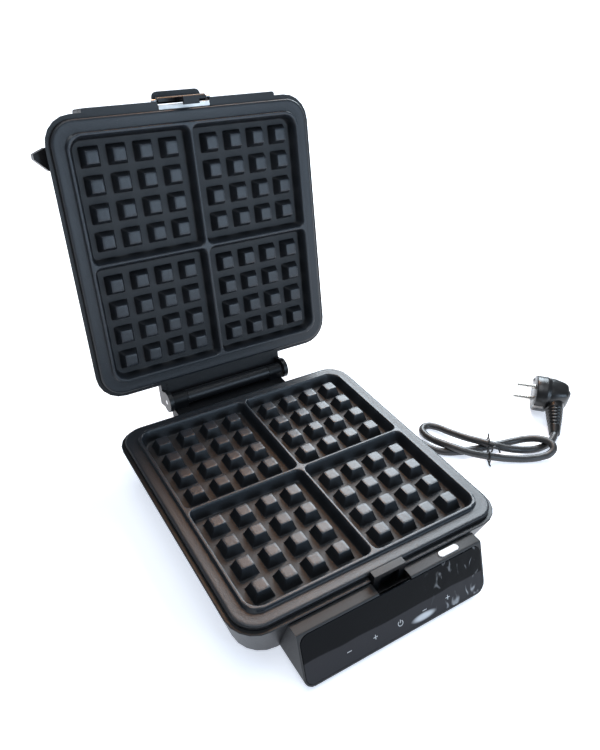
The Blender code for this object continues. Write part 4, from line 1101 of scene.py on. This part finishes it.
@dataclass
class Solids:
    """The shells, the fittings and the works, finished in place."""

    shell: MouldedPlastic = MouldedPlastic("housing_plastic", (0.007, 0.0075, 0.009), 0.42, shine=0.42)
    box: MouldedPlastic = MouldedPlastic(
        "control_box_plastic", (0.013, 0.013, 0.014), 0.5, Moulding.SATIN, 0.36
    )
    bracket: MouldedPlastic = MouldedPlastic("bracket_plastic", (0.004, 0.0046, 0.0058), 0.5, shine=0.28)
    gloss: MouldedPlastic = MouldedPlastic(
        "gloss_black_plastic", (0.004, 0.004, 0.005), 0.38, Moulding.POLISHED, 0.3
    )
    silver: BrushedMetal = BrushedMetal("silver_strip", (0.72, 0.7, 0.68), 0.5, (0.05, 1.0, 1.0))
    cap: MouldedPlastic = MouldedPlastic("silver_paint", (0.62, 0.62, 0.61), 0.34, Moulding.SATIN)
    steel: BrushedMetal = BrushedMetal("pin_steel", (0.52, 0.52, 0.53), 0.28, (0.08, 1.0, 1.0))
    sheath: BrushedMetal = BrushedMetal("element_sheath", (0.3, 0.27, 0.24), 0.42, tint=(0.2, 0.14, 0.12))
    sheet: BrushedMetal = BrushedMetal(
        "reflector_sheet", (0.74, 0.75, 0.76), 0.26, (1.0, 0.06, 1.0), (0.62, 0.6, 0.56)
    )
    alloy: BrushedMetal = BrushedMetal("thermostat_alloy", (0.6, 0.6, 0.6), 0.36)
    ceramic: PlainPaint = PlainPaint("steatite", (0.72, 0.69, 0.62), 0.55, 700.0)
    board: PlainPaint = PlainPaint("board_lacquer", (0.02, 0.14, 0.055), 0.32, 500.0)
    bottom: MouldedPlastic = MouldedPlastic("bottom_paint", (0.03, 0.03, 0.032), 0.38)
    rubber: SoftRubber = SoftRubber("foot_rubber", (0.028, 0.028, 0.029), 0.62)

    def build(self) -> None:
        """Dress every shell and fitting, then the inner pieces and what closes the base."""
        dress(self.shell.paint(), "base_housing", "lid_frame", "lid_cover", bevel=0.0007, steps=3)
        dress(self.bracket.paint(), "hinge_bracket")
        dress(self.box.paint(), "control_box_housing", bevel=0.0007, steps=3)
        dress(self.gloss.paint(), "latch_lever", "latch_catch", "upper_release_button", steps=3)
        dress(self.silver.paint(), "latch_plate", bevel=0.0002)
        dress(self.cap.paint(), "lower_release_button", bevel=0.0006, steps=3)
        screws = [f"base_screw_{number}" for number in range(1, 5)]
        dress(self.steel.paint(), "hinge_pin", "latch_pin", *screws, bevel=0.0003)
        dress(self.sheath.paint(), "lower_heating_element", "upper_heating_element", bevel=0.0)
        dress(self.sheet.paint(), "lower_heat_shield", "upper_heat_shield", bevel=0.0)
        alloy = self.alloy.paint()
        dress(alloy, "thermostat", bevel=0.0002)
        dress(alloy, "thermal_fuse", bevel=0.0)
        dress(self.ceramic.paint(), "terminal_block", bevel=0.0003)
        dress(self.board.paint(), "control_board", bevel=0.0)
        dress(self.bottom.paint(), "base_bottom_cover", bevel=0.0002)
        feet = [f"foot_{number}" for number in range(1, 7)]
        dress(self.rubber.paint(), *feet, bevel=0.0006, steps=3)


# ---- whole machine


def main() -> None:
    """Build the scene in order: camera and lead first, then the plates, panel and solids."""
    logging.basicConfig(level=logging.INFO, format="%(name)s: %(message)s")
    for section in (Studio(), MainsLead(), WafflePlates(), ControlPanel(), Solids()):
        section.build()


if __name__ == "__main__":
    main()
